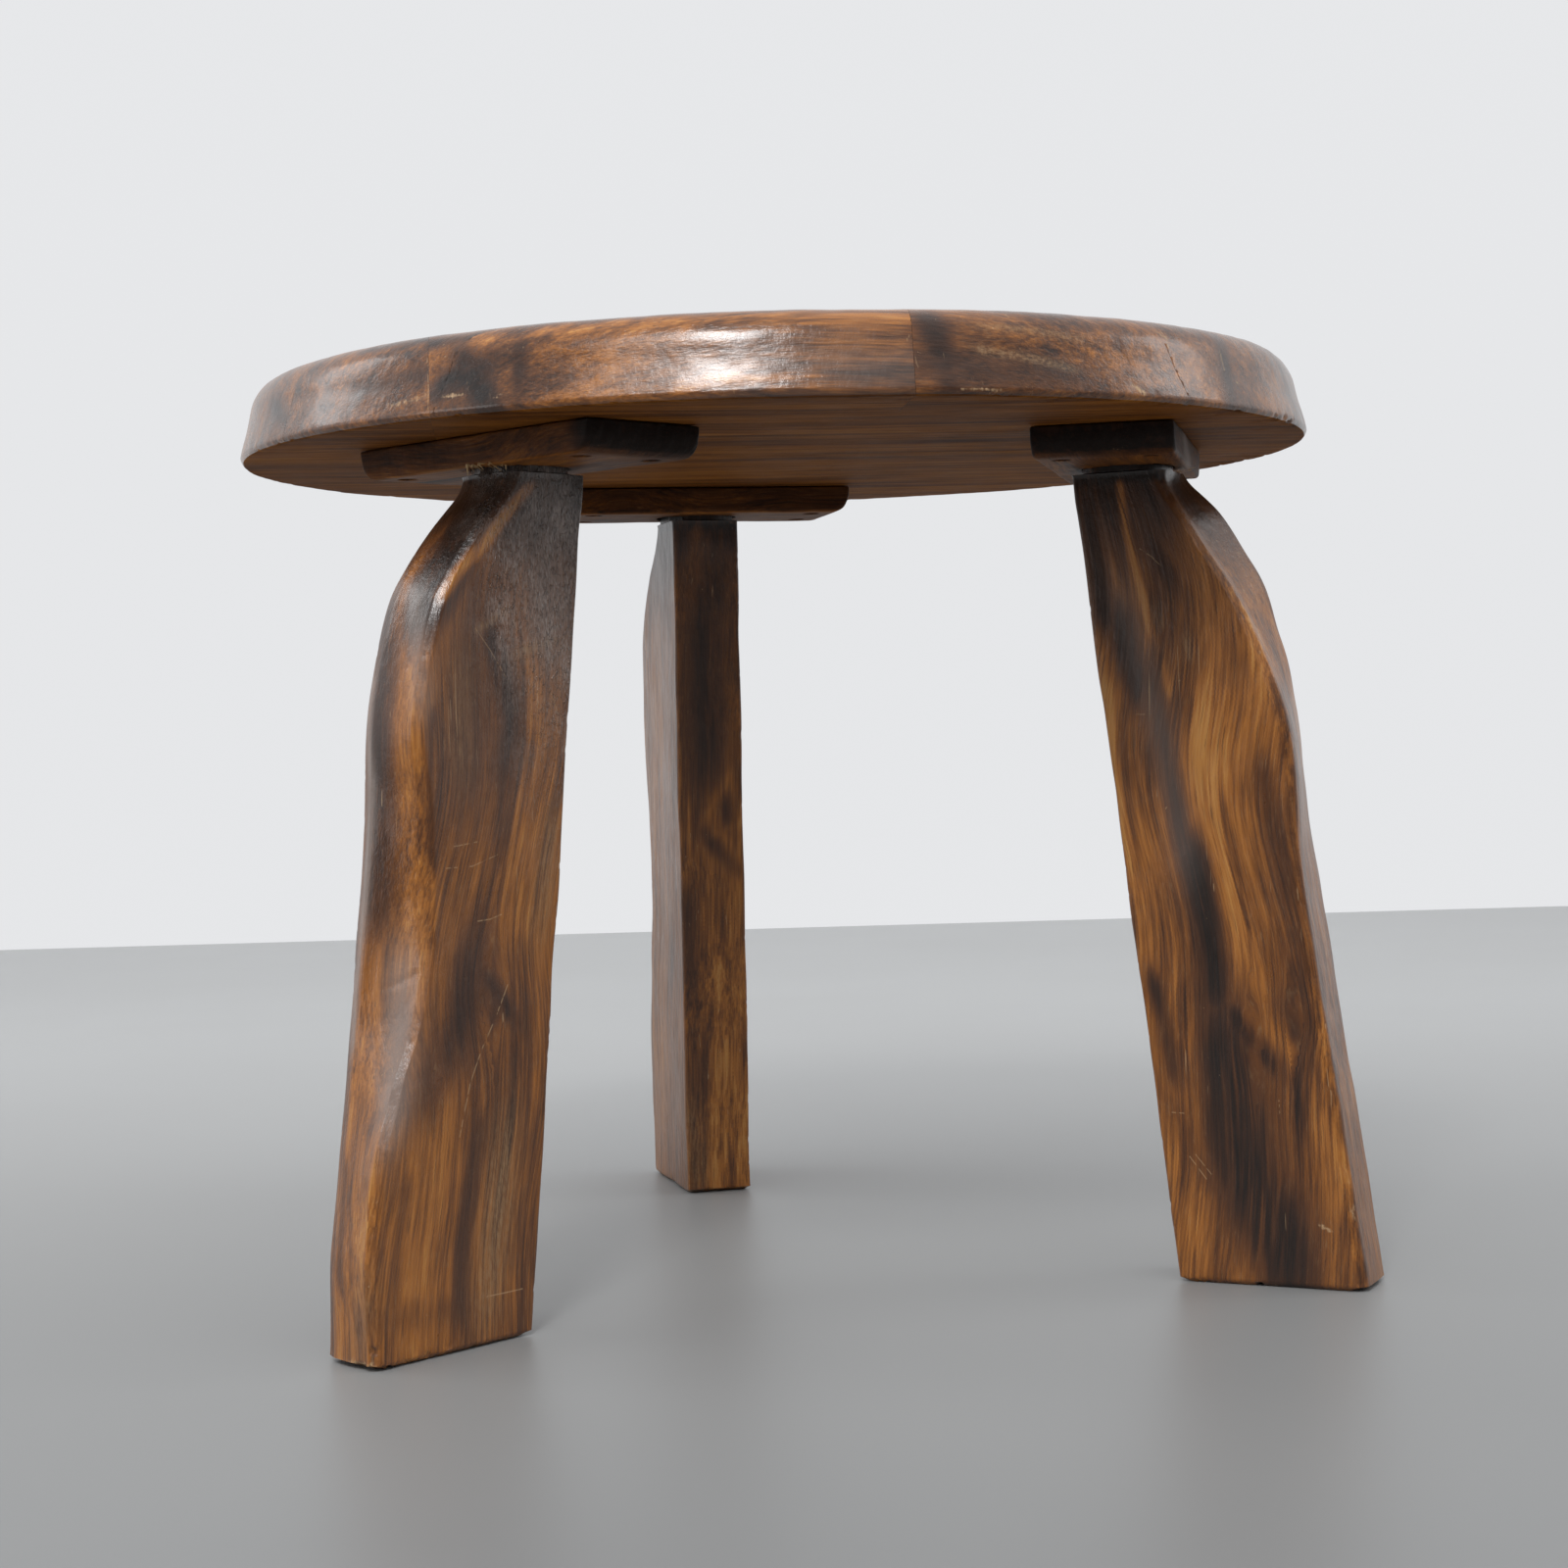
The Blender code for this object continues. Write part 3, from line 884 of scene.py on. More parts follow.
    def relief(
        self, recipe: Recipe, place: Socket, threads: Socket, strands: Socket, pores: Socket, marks: dict[str, Socket]
    ) -> Socket:
        """The fine relief: grain telegraphing through the lacquer, its pores, its flow and its blisters.

        Args:
            recipe: the material under way.
            place: the object's own coordinates.
            threads: the finest layer of the grain.
            strands: the fine layer of the grain.
            pores: the open pores.
            marks: the painted fields.

        Returns:
            The bent normal.
        """
        flow = recipe.noise(place, (150.0, 150.0, 110.0), 4.0, 0.6, 0.0, self.seed + 29.0)
        normal = recipe.bump(flow, self.flow_depth, 0.7)
        grain = recipe.sum((threads, 0.5), (strands, 0.9), (pores, -0.3))
        normal = recipe.bump(grain, self.grain_depth * 2.2, 0.6, normal)
        blisters = recipe.noise(place, (520.0, 520.0, 260.0), 3.0, 0.6, 0.0, self.seed + 31.0)
        raised = recipe.math("MULTIPLY", recipe.span(blisters, 0.5, 0.72), marks["blister"])
        return recipe.bump(raised, self.blister_depth, 1.0, normal)


@dataclass(frozen=True)
class PlainDowel:
    """Bare turned hardwood of the hidden dowels."""

    name: str = "dowel_wood"

    def make(self) -> bpy.types.Material:
        """Builds the material.

        Returns:
            The material.
        """
        recipe = Recipe(self.name)
        place = recipe.place()
        grain = recipe.noise(place, (900.0, 900.0, 900.0), 4.0, 0.6)
        colour = recipe.ramp(grain, ((0.3, (0.42, 0.27, 0.15)), (0.7, (0.60, 0.43, 0.26))))
        return recipe.shade(Base_Color=colour, Roughness=recipe.span(grain, 0.2, 0.8, 0.5, 0.7),
                            Normal=recipe.bump(grain, 0.2 * MM))


@dataclass(frozen=True)
class TarnishedSteel:
    """Old screw heads: dull steel with brown rust in patches."""

    name: str = "screw_steel"

    def make(self) -> bpy.types.Material:
        """Builds the material.

        Returns:
            The material.
        """
        recipe = Recipe(self.name)
        place = recipe.place()
        rust = recipe.span(recipe.noise(place, (700.0, 700.0, 700.0), 4.0, 0.6), 0.45, 0.62)
        brushed = recipe.noise(place, (2600.0, 300.0, 300.0), 2.0)
        colour = recipe.blend(rust, recipe.ramp(brushed, ((0.3, (0.20, 0.19, 0.18)), (0.7, (0.34, 0.32, 0.30)))),
                              (0.07, 0.028, 0.012))
        return recipe.shade(Base_Color=colour, Metallic=recipe.math("SUBTRACT", 1.0, rust),
                            Roughness=recipe.span(rust, 0.0, 1.0, 0.38, 0.8), Normal=recipe.bump(brushed, 0.15 * MM))


# The top


@dataclass
class RoundTop:
    """The round top: its boards, cut from one turned disc."""

    steps: int = 900
    guide_board: int = 6
    merge: float = 0.05 * MM
    bottom_rings: tuple[float, ...] = (0.0, 0.06, 0.14, 0.20, 0.25, 0.28)
    lower_points: int = 9
    side_points: int = 12
    upper_points: int = 20
    rim_passes: int = 12
    face_share: float = 0.96
    lower_edge: tuple[float, float] = (3.4 * MM, 4.4 * MM)
    draw_in: float = 5.5 * MM
    upper_edge: tuple[float, float] = (16.0 * MM, 21.0 * MM)
    rim_band: tuple[float, float] = (35.0 * MM, 20.0 * MM)
    rim_swell: float = 0.16 * MM
    rim_ripple: float = 0.05 * MM
    torn_bearings: tuple[float, float, float, float] = (0.30, 0.55, 1.9, 2.3)
    joint_slack: float = 2.0 * MM
    grain_sway: float = 0.010
    arris_wear: float = 0.50
    arris_width: float = 2.2 * MM
    facing_down: float = 0.7
    lacquer_wrap: float = 1.6 * MM
    brushes: Sequence[Brush] = ()

    def __post_init__(self) -> None:
        """Reads the boards' place and the run of their grain from the frame."""
        self.nodes = sorted(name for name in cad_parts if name.startswith("top_board_"))
        points = np.concatenate([cad_points(name) for name in self.nodes])
        low, high = points.min(axis=0), points.max(axis=0)
        self.middle = Vector(((low[0] + high[0]) / 2.0, (low[1] + high[1]) / 2.0, low[2]))
        self.radius = (high[0] - low[0]) / 2.0
        self.thickness = high[2] - low[2]
        across = broadest_side(self.nodes[self.guide_board - 1])
        self.across = across if across.y < 0.0 else -across
        self.along = Vector((-self.across.y, self.across.x, 0.0))

    def profile(self) -> list[tuple[float, float]]:
        """Radius and height from the middle of the underside round the rim to the middle of the face.

        Returns:
            The points of the outline, in metres.
        """
        run, rise = self.lower_edge
        side_top = self.thickness - self.upper_edge[1]
        points = [(r, 0.0) for r in self.bottom_rings]
        for step in range(self.lower_points):
            angle = -math.pi / 2 + math.pi / 2 * step / (self.lower_points - 1)
            points.append((self.radius - run + run * math.cos(angle), rise + rise * math.sin(angle)))
        for step in range(1, self.side_points):
            share = step / self.side_points
            points.append((self.radius - self.draw_in * share, rise + (side_top - rise) * share))
        for step in range(self.upper_points):
            angle = math.pi / 2 * step / (self.upper_points - 1)
            centre = self.radius - self.draw_in - self.upper_edge[0]
            points.append(
                (centre + self.upper_edge[0] * math.cos(angle), side_top + self.upper_edge[1] * math.sin(angle))
            )
        rim = np.array(points)
        worked = len(self.bottom_rings) + self.lower_points - 1
        for _ in range(self.rim_passes):
            rim[worked:-1] = 0.5 * rim[worked:-1] + 0.25 * (rim[worked - 1:-2] + rim[worked + 1:])
        face = [(r * self.face_share, self.thickness) for r in reversed(self.bottom_rings)]
        return [tuple(point) for point in rim] + face

    def disc(self) -> bpy.types.Object:
        """The whole top, spun from its profile.

        Returns:
            The disc, at its place in the frame.
        """
        disc = spun("top_disc", self.profile(), self.steps, self.merge)
        disc.location = self.middle
        settle(disc)
        return disc

    def weather(self, disc: bpy.types.Object) -> None:
        """Gives the turned disc its hand-worked unevenness, dents and torn lower edge.

        Args:
            disc: the whole top.
        """
        points, normals = points_of(disc), normals_of(disc)
        flat = points - np.array(self.middle)
        reach = np.hypot(flat[:, 0], flat[:, 1])
        rim = ease(reach, *(self.radius - edge for edge in self.rim_band))
        sink = self.rim_swell * (Ripple(3, 0.05, 0.22).at(points) - 1.2) * rim
        sink += self.rim_ripple * (Ripple(5, 0.008, 0.03, stretch=(1.0, 1.0, 1.6)).at(points) - 1.0) * rim
        bearing = np.arctan2(flat[:, 0], -flat[:, 1])
        beside, above = (reach - self.radius + 1.5 * MM) / (3.5 * MM), (flat[:, 2] - 1.5 * MM) / (3.0 * MM)
        arris = np.exp(-(beside**2 + above**2))
        nicks = ease(Ripple(11, 0.004, 0.03, 26).at(points), 0.9, 1.9)
        torn = ease(bearing, *self.torn_bearings[:2]) * (1.0 - ease(bearing, *self.torn_bearings[2:]))
        sink -= arris * nicks * (0.25 + 1.5 * torn) * MM
        points = points + normals * sink[:, None]
        points[:, 2] = np.minimum(points[:, 2], CAD_BOX[1][2])
        move_points(disc, points)

    def board(self, disc: bpy.types.Object, number: int, node: str) -> bpy.types.Object:
        """One board, cut from the disc between its glue joints.

        Args:
            disc: the whole top.
            number: the board's number, from 1.
            node: the name of a CAD node.

        Returns:
            The board.
        """
        flat = cad_points(node) - np.array(self.middle)
        copy = duplicate(disc, f"board_{number}")
        only(copy)
        bpy.ops.object.mode_set(mode="EDIT")
        for heading in (self.across, self.along):
            offsets = flat @ np.array(heading)
            for offset, side in ((offsets.max(), 1.0), (offsets.min(), -1.0)):
                if abs(offset) > self.reach_along(flat, heading) - self.joint_slack:
                    continue
                bpy.ops.mesh.select_all(action="SELECT")
                bpy.ops.mesh.bisect(
                    plane_co=self.middle + heading * offset, plane_no=heading * side, use_fill=True, clear_outer=True
                )
        bpy.ops.object.mode_set(mode="OBJECT")
        return copy

    def reach_along(self, flat: np.ndarray, heading: Vector) -> float:
        """How far the round edge reaches in a direction over the width of a board.

        Args:
            flat: the board's points from the middle of the top.
            heading: the direction.

        Returns:
            The distance from the middle of the top.
        """
        beside = flat @ np.array(self.along if heading is self.across else self.across)
        nearest = np.abs(beside).min()
        spans_middle = np.ptp(np.sign(beside)) > 0.0
        return math.sqrt(self.radius**2 - (0.0 if spans_middle else nearest) ** 2)

    def fibre(self, piece: bpy.types.Object, number: int) -> None:
        """Writes the run of the grain: across the board, through it and along it, unlike its neighbours'.

        Args:
            piece: the object.
            number: the board's number, from 1.
        """
        flat = points_of(piece) - np.array(self.middle)
        sway = self.grain_sway * Ripple(40 + number, 0.25, 0.9).at(points_of(piece))
        across = flat @ np.array(self.across) + sway * 0.4
        along = flat @ np.array(self.along)
        shift = np.array((0.37, 0.21, 1.9)) * number
        write_field(piece, "fibre", np.stack([across, flat[:, 2] + sway * 0.2, along], axis=1) + shift)

    def edge_wear(self, piece: bpy.types.Object) -> np.ndarray:
        """How far the lacquer is rubbed through along the lower arris.

        Args:
            piece: the object.

        Returns:
            One number for each vertex, 0 to 1.
        """
        flat = points_of(piece) - np.array(self.middle)
        reach = np.hypot(flat[:, 0], flat[:, 1])
        gap = np.hypot(reach - self.radius + 1.0 * MM, (flat[:, 2] - 2.0 * MM) * 0.9)
        patchy = 0.05 + 0.45 * Ripple(21, 0.02, 0.12).at(points_of(piece))
        return self.arris_wear * np.exp(-((gap / self.arris_width) ** 2)) * np.clip(patchy, 0.0, 1.0)

    def make(self, camera: PhotoCamera) -> list[bpy.types.Object]:
        """Builds every board, all but their material.

        Args:
            camera: the photograph's camera.

        Returns:
            The boards, in the order of their numbers.
        """
        disc = self.disc()
        self.weather(disc)
        boards = []
        for number, node in enumerate(self.nodes, 1):
            board = self.board(disc, number, node)
            self.fibre(board, number)
            paint(board, self.brushes, camera, {Mark.WEAR: self.edge_wear(board)})
            smooth(board)
            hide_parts(node)
            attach(board, "root")
            boards.append(board)
            log.info("%s: %d faces", board.name, len(board.data.polygons))
        bpy.data.objects.remove(disc, do_unlink=True)
        return boards

    def finish(
        self, boards: Sequence[bpy.types.Object], lacquered: bpy.types.Material, bare: bpy.types.Material
    ) -> None:
        """Lays lacquer on the rim and the face, and bare stained wood on the underside.

        Args:
            boards: the boards.
            lacquered: the wood of the rim and the face.
            bare: the wood of the underside.
        """
        dress(boards, lacquered, bare)
        for board in boards:
            for polygon in board.data.polygons:
                reach = (polygon.center - self.middle).xy.length
                below = polygon.normal.z < -self.facing_down and reach < self.radius - self.lacquer_wrap
                polygon.material_index = 1 if below else 0


# The legs


@dataclass(frozen=True)
class Knot:
    """A knot that the grain flows round, at a pixel of the photograph."""

    pixel: Pixel
    radius: float
    length: float


@dataclass(frozen=True)
class Hollow:
    """A shallow gouge cut, along pixels of the photograph, with its half width at each."""

    depth: float
    path: tuple[tuple[Pixel, float], ...]

    def sink(self, points: np.ndarray, camera: PhotoCamera, solid: BVHTree) -> np.ndarray:
        """How far each point goes down, dished across the cut with a crisp border.

        Args:
            points: rows of x, y and z, in metres.
            camera: the photograph's camera.
            solid: a tree of the solid, for casting rays.

        Returns:
            One depth for each point, in metres.
        """
        places = located(camera, solid, [pixel for pixel, _ in self.path])
        widths = [width for _, width in self.path]
        deepest = np.zeros(len(points))
        if len(places) < len(self.path):
            return deepest
        for start, end, narrow, wide in zip(places, places[1:], widths, widths[1:]):
            run = end - start
            share = np.clip((points - start) @ run / max(run @ run, NONE**2), 0.0, 1.0)
            reach = narrow + share * (wide - narrow)
            gap = np.linalg.norm(points - start - share[:, None] * run, axis=1) / reach
            deepest = np.maximum(deepest, np.clip(1.0 - gap**2, 0.0, 1.0) * reach / max(widths))
        return self.depth * deepest


@dataclass
class PlankLeg:
    """One carved plank leg: a fine skin laid on the solid's own corners and then worked by hand."""

    station: str
    spacing: float = 1.45 * MM
    side_columns: tuple[int, ...] = (44, 6, 6, 20, 7, 44, 4, 28, 4)
    corner_crowding: float = 0.65
    section_passes: int = 3
    block_gap: float = 2.7 * MM
    foot_middle: float = 52.0 * MM
    outer_rays: tuple[float, float] = (1.3, 1.03)
    inner_arris: float = 1.5 * MM
    outer_arris: float = 4.5 * MM
    ridge: float = 10.4 * MM
    ease_length: float = 5.0 * MM
    tenon_rows: int = 8
    foot_rounding: float = 2.4 * MM
    half_thickness: float = 22.0 * MM
    swell: float = 0.26 * MM
    facets: float = 0.07 * MM
    rubbed_inner: float = 2.4 * MM
    rubbed_foot: float = 3.5 * MM
    outer_band: float = 30.0 * MM
    usual_width: float = 95.0 * MM
    grain_sway: float = 5.0 * MM
    follow_share: float = 0.45
    worn_below: tuple[float, float] = (110.0 * MM, 50.0 * MM)
    # (strength, start, end) measured down from the shoulder: darker towards the shoulder; the second row blackens the
    # tenon in the gap under the block as painted shade
    shoulder_dark_and_gap_shade: tuple[Triple, ...] = ((0.85, 95.0 * MM, -10.0 * MM), (1.2, 8.0 * MM, -1.0 * MM))
    brushes: Sequence[Brush] = ()
    knots: Sequence[Knot] = ()
    hollows: Sequence[Hollow] = ()
    lean: float = 0.0
    swells: tuple[tuple[float, float], ...] = ((0.0, 0.0),)
    far_corner: tuple[tuple[float, float], tuple[float, float]] = ((4.5 * MM, 0.0), (0.0, 4.5 * MM))

    def __post_init__(self) -> None:
        """Reads the leg's own axes from its solid."""
        self.node = f"leg_{self.station}"
        points = cad_points(self.node)
        self.top = points[:, 2].max()
        self.axis = tenon_axis(self.station)
        foot = points[points[:, 2] < 0.1 * MM].mean(axis=0)
        broad = broadest_side(self.node)
        out = Vector((-broad.y, broad.x, 0.0)).normalized()
        self.out = out if out.dot(Vector(foot) - self.axis) > 0.0 else -out
        self.side = Vector((-self.out.y, self.out.x, 0.0))
        self.turn = np.array((self.out, self.side, Vector((0.0, 0.0, 1.0))))
        self.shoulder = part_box(f"leg_block_{self.station}")[0].z - self.block_gap
        self.seed = STATIONS.index(self.station)

    def local(self, points: np.ndarray) -> np.ndarray:
        """World points in the leg's own axes: outwards, sideways, up."""
        return (points - np.array(self.axis)) @ self.turn.T

    def world(self, points: np.ndarray) -> np.ndarray:
        """Points in the leg's own axes, back in the world."""
        return points @ self.turn + np.array(self.axis)

    @staticmethod
    def reach(solid: BVHTree, start: Sequence[float], heading: Sequence[float]) -> float:
        """How far a ray runs inside the solid."""
        distance = solid.ray_cast(Vector(start), Vector(heading))[3]
        return distance or 0.0

    def faces_at(self, solid: BVHTree, height: float) -> tuple[float, ...]:
        """The plank's low side, high side, inner edge and outer edge, the last at its two corners.

        Args:
            solid: a tree of the solid, for casting rays.
            height: the height above the floor.

        Returns:
            Five distances from the tenon's axis, in metres.
        """
        middle = self.foot_middle * max(0.0, 1.0 - height / self.shoulder)
        low = -self.reach(solid, (middle, 0.0, height), (0.0, -1.0, 0.0))
        high = self.reach(solid, (middle, 0.0, height), (0.0, 1.0, 0.0))
        centre = (low + high) / 2.0
        inner = middle - self.reach(solid, (middle, centre, height), (-1.0, 0.0, 0.0))
        outer = [
            middle + self.reach(solid, (middle, side, height), (1.0, 0.0, 0.0))
            for side in (low + self.outer_rays[0] * self.outer_arris, high - self.outer_rays[1] * self.outer_arris)
        ]
        swell = float(np.interp(height / MM, *zip(*self.swells))) * MM
        return low, high, inner, outer[0] + swell, outer[1] + swell

    def section(self, low: float, high: float, inner: float, outer: float, carved: float) -> np.ndarray:
        """A closed ring of points round the plank, dense at its corners.

        Args:
            low: the low side.
            high: the high side.
            inner: the inner edge.
            outer: the outer edge by the low side.
            carved: the outer edge by the high side.

        Returns:
            One row for each point: outwards and sideways.
        """
        small, large = self.inner_arris, self.outer_arris
        first, second = self.far_corner
        corners = np.array([
            (inner + small, low), (outer - first[0], low + first[1]), (outer - second[0], low + second[1]),
            (outer, low + self.ridge),
            (carved, high - large), (carved - large, high), (inner + small, high), (inner, high - small),
            (inner, low + small),
        ])
        ring = []
        for start, end, columns in zip(corners, np.roll(corners, -1, axis=0), self.side_columns):
            share = np.arange(columns) / columns
            crowded = (1.0 - np.cos(math.pi * share)) / 2.0
            share = share + self.corner_crowding * (crowded - share)
            ring.append(start + share[:, None] * (end - start))
        return np.concatenate(ring)

    def rings(self) -> tuple[np.ndarray, np.ndarray]:
        """Every section, foot first, and its height; the facets of the solid are smoothed away.

        Returns:
            The sections, and one height for each of them.
        """
        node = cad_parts[self.node]
        local = self.local(points_of(node))
        solid = BVHTree.FromPolygons([Vector(p) for p in local], [p.vertices for p in node.data.polygons])
        count = int(self.shoulder / self.spacing)
        heights = np.linspace(self.foot_rounding, self.shoulder - 0.4 * MM, count)
        faces = np.array([self.faces_at(solid, height) for height in heights])
        faces = self.eased(faces, self.ease_length / self.spacing)
        body = np.array([self.section(*row) for row in faces])
        for _ in range(self.section_passes):
            body = 0.5 * body + 0.25 * (np.roll(body, 1, axis=1) + np.roll(body, -1, axis=1))
        tenon_heights = np.linspace(self.shoulder + 0.2 * MM, self.top - 0.2 * MM, self.tenon_rows)
        headings = body[-1] / np.linalg.norm(body[-1], axis=1)[:, None]
        tenon = np.array([
            [heading * self.reach(solid, (0.0, 0.0, height), (*heading, 0.0)) for heading in headings]
            for height in tenon_heights
        ])
        centre = body[:1].mean(axis=1, keepdims=True)
        foot = centre + (body[:1] - centre) * (1.0 - self.foot_rounding / self.half_thickness)
        return np.concatenate([foot, body, tenon]), np.concatenate([[0.0], heights, tenon_heights])

    @staticmethod
    def eased(rows: np.ndarray, spread: float) -> np.ndarray:
        """Smooths the columns of a table along its rows, the ends carried on.

        Args:
            rows: the table, one row for each height.
            spread: how far the smoothing reaches, in rows.

        Returns:
            The smoothed table.
        """
        reach = int(3.0 * spread)
        kernel = np.exp(-0.5 * (np.arange(-reach, reach + 1) / spread) ** 2)
        kernel /= kernel.sum()
        padded = np.concatenate([2.0 * rows[:1] - rows[reach:0:-1], rows, 2.0 * rows[-1:] - rows[-2:-reach - 2:-1]])
        return sum(padded[i:i + len(rows)] * weight for i, weight in enumerate(kernel))

    def skin(self) -> bpy.types.Object:
        """A grid wrapped round the sections, closed along its seam and at both ends.

        Returns:
            The skin, closed, its normals outwards.
        """
        sections, heights = self.rings()
        rows, columns = sections.shape[:2]
        leg = new_primitive(
            f"plank_leg_{self.station}", bpy.ops.mesh.primitive_grid_add, x_subdivisions=columns,
            y_subdivisions=rows - 1, size=1.0,
        )
        wrapped = np.concatenate([sections, sections[:, :1]], axis=1)
        tall = np.repeat(heights[:, None], columns + 1, axis=1)[..., None]
        move_points(leg, self.world(np.concatenate([wrapped, tall], axis=2).reshape(-1, 3)))
        edit(leg, lambda: bpy.ops.mesh.remove_doubles(threshold=0.01 * MM))
        for low, high in ((-1.0, 0.1 * MM), (self.top - 0.3 * MM, 1.0)):
            self.close(leg, low, high)
        edit(leg, lambda: bpy.ops.mesh.normals_make_consistent(inside=False))
        return leg

    @staticmethod
    def close(leg: bpy.types.Object, low: float, high: float) -> None:
        """Fills the end loop that lies between two heights.

        Args:
            leg: the leg's skin.
            low: the lower height.
            high: the upper height.
        """
        only(leg)
        heights = points_of(leg)[:, 2]
        chosen = (heights > low) & (heights < high)
        leg.data.polygons.foreach_set("select", np.zeros(len(leg.data.polygons), dtype=bool))
        leg.data.edges.foreach_set("select", np.zeros(len(leg.data.edges), dtype=bool))
        leg.data.vertices.foreach_set("select", chosen)
        bpy.ops.object.mode_set(mode="EDIT")
        bpy.ops.mesh.edge_face_add()
        bpy.ops.object.mode_set(mode="OBJECT")

    def place_on_leg(self, leg: bpy.types.Object) -> dict[str, np.ndarray]:
        """Where the vertices lie on the leg: its own axes, and the distances from the plank's faces.

        Args:
            leg: the leg's skin.

        Returns:
            One array for each of these, by name.
        """
        local = self.local(points_of(leg))
        bins = np.clip((local[:, 2] / self.spacing / 2.0).astype(int), 0, None)
        count = bins.max() + 1
        inner, low = np.full(count, np.inf), np.full(count, np.inf)
        outer, high = np.full(count, -np.inf), np.full(count, -np.inf)
        np.minimum.at(inner, bins, local[:, 0])
        np.maximum.at(outer, bins, local[:, 0])
        np.minimum.at(low, bins, local[:, 1])
        np.maximum.at(high, bins, local[:, 1])
        width = np.maximum(outer[bins] - inner[bins], NONE)
        depth = local[:, 0] - inner[bins]
        return {
            "local": local, "depth": depth, "width": width, "share": depth / width,
            "to_side": np.minimum(local[:, 1] - low[bins], high[bins] - local[:, 1]),
        }

    def work(self, leg: bpy.types.Object, camera: PhotoCamera) -> None:
        """Gives the skin its hand-worked surface: long swells, tool facets, nicks and rubbed corners.

        Args:
            leg: the leg's skin.
            camera: the photograph's camera.
        """
        points, normals = points_of(leg), normals_of(leg)
        seed = self.seed * 17
        below = 1.0 - ease(points[:, 2], self.shoulder - 1.5 * MM, self.shoulder)
        sink = self.swell * (Ripple(60 + seed, 0.04, 0.16).at(points) - 1.1)
        sink += self.facets * (Ripple(61 + seed, 0.010, 0.035, stretch=(1.0, 1.0, 0.5)).at(points) - 1.0)
        sharp = self.arris(leg)
        nicks = ease(Ripple(62 + seed, 0.004, 0.03, 26).at(points), 1.1, 2.0)
        low = 1.0 - ease(points[:, 2], 0.01, 0.06)
        sink -= sharp * nicks * (0.4 + 1.2 * low) * MM
        solid = solid_tree(leg)
        for hollow in self.hollows:
            sink -= hollow.sink(points, camera, solid)
        points = points + normals * (sink * below)[:, None]
        points[:, 2] = np.maximum(points[:, 2], CAD_BOX[0][2])
        move_points(leg, points)

    def arris(self, leg: bpy.types.Object) -> np.ndarray:
        """How close each vertex is to one of the leg's edges, 0 to 1.

        Args:
            leg: the leg's skin.

        Returns:
            One number for each vertex.
        """
        on = self.place_on_leg(leg)
        inner = np.exp(-((np.hypot(on["to_side"], on["depth"]) / self.rubbed_inner) ** 2))
        turned = np.abs(normals_of(leg) @ self.turn.T)
        outer = np.exp(-(((turned[:, 1] - 0.70) / 0.20) ** 2)) * (on["width"] - on["depth"] < self.outer_band)
        foot = np.exp(-((on["local"][:, 2] / self.rubbed_foot) ** 2))
        return np.clip(np.maximum.reduce([inner, 0.8 * outer, foot]), 0.0, 1.0)

    def fibre(self, leg: bpy.types.Object, camera: PhotoCamera) -> None:
        """Writes the run of the grain, which follows the carved edge part of the way and flows round knots.

        Args:
            leg: the leg's skin.
            camera: the photograph's camera.
        """
        on = self.place_on_leg(leg)
        local = on["local"]
        across = on["depth"] * (1.0 - self.follow_share) + on["share"] * self.usual_width * self.follow_share
        across = across + self.grain_sway * Ripple(80 + self.seed, 0.12, 0.5).at(local) + self.lean * local[:, 2]
        along = local[:, 2].copy()
        solid, points = solid_tree(leg), points_of(leg)
        for knot in self.knots:
            centre = located(camera, solid, [knot.pixel])
            if len(centre) == 0:
                continue
            nearest = int(np.argmin(np.linalg.norm(points - centre[0], axis=1)))
            beside, above = across - across[nearest], along - along[nearest]
            fade = knot.radius**2 * np.exp(-((above / knot.length) ** 2))
            fade = fade * np.exp(-((local[:, 1] - local[nearest, 1]) / (0.8 * knot.length)) ** 2)
            across = across[nearest] + np.sign(beside) * np.sqrt(np.maximum(beside**2 - fade, 0.02 * beside**2))
        shift = np.array((0.41, 0.27, 1.3)) * (1 + self.seed)
        write_field(leg, "fibre", np.stack([across, local[:, 1], along], axis=1) + shift)

    def make(self, camera: PhotoCamera) -> bpy.types.Object:
        """Builds the finished leg, all but its material.

        Args:
            camera: the photograph's camera.

        Returns:
            The leg.
        """
        leg = self.skin()
        self.work(leg, camera)
        self.fibre(leg, camera)
        points = points_of(leg)
        patchy = np.clip(0.50 + 0.38 * Ripple(90, 0.02, 0.12).at(points), 0.0, 1.0)
        wear = self.arris(leg) * patchy * (0.42 + 0.40 * (1.0 - ease(points[:, 2], 0.0, 0.2)))
        wear *= 1.0 - ease(points[:, 2], *(self.shoulder - drop for drop in self.worn_below))
        # darker towards the shoulder, and painted shade on the tenon in the gap under the block
        stain_and_shade = sum(
            depth * ease(points[:, 2], self.shoulder - start, self.shoulder - end)
            for depth, start, end in self.shoulder_dark_and_gap_shade
        )
        paint(leg, self.brushes, camera, {Mark.WEAR: wear, Mark.STAIN_AND_SHADE: stain_and_shade})
        smooth(leg, math.radians(50))
        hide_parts(self.node)
        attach(leg, "root")
        log.info("%s: %d faces", leg.name, len(leg.data.polygons))
        return leg


# The mounting blocks and their screws


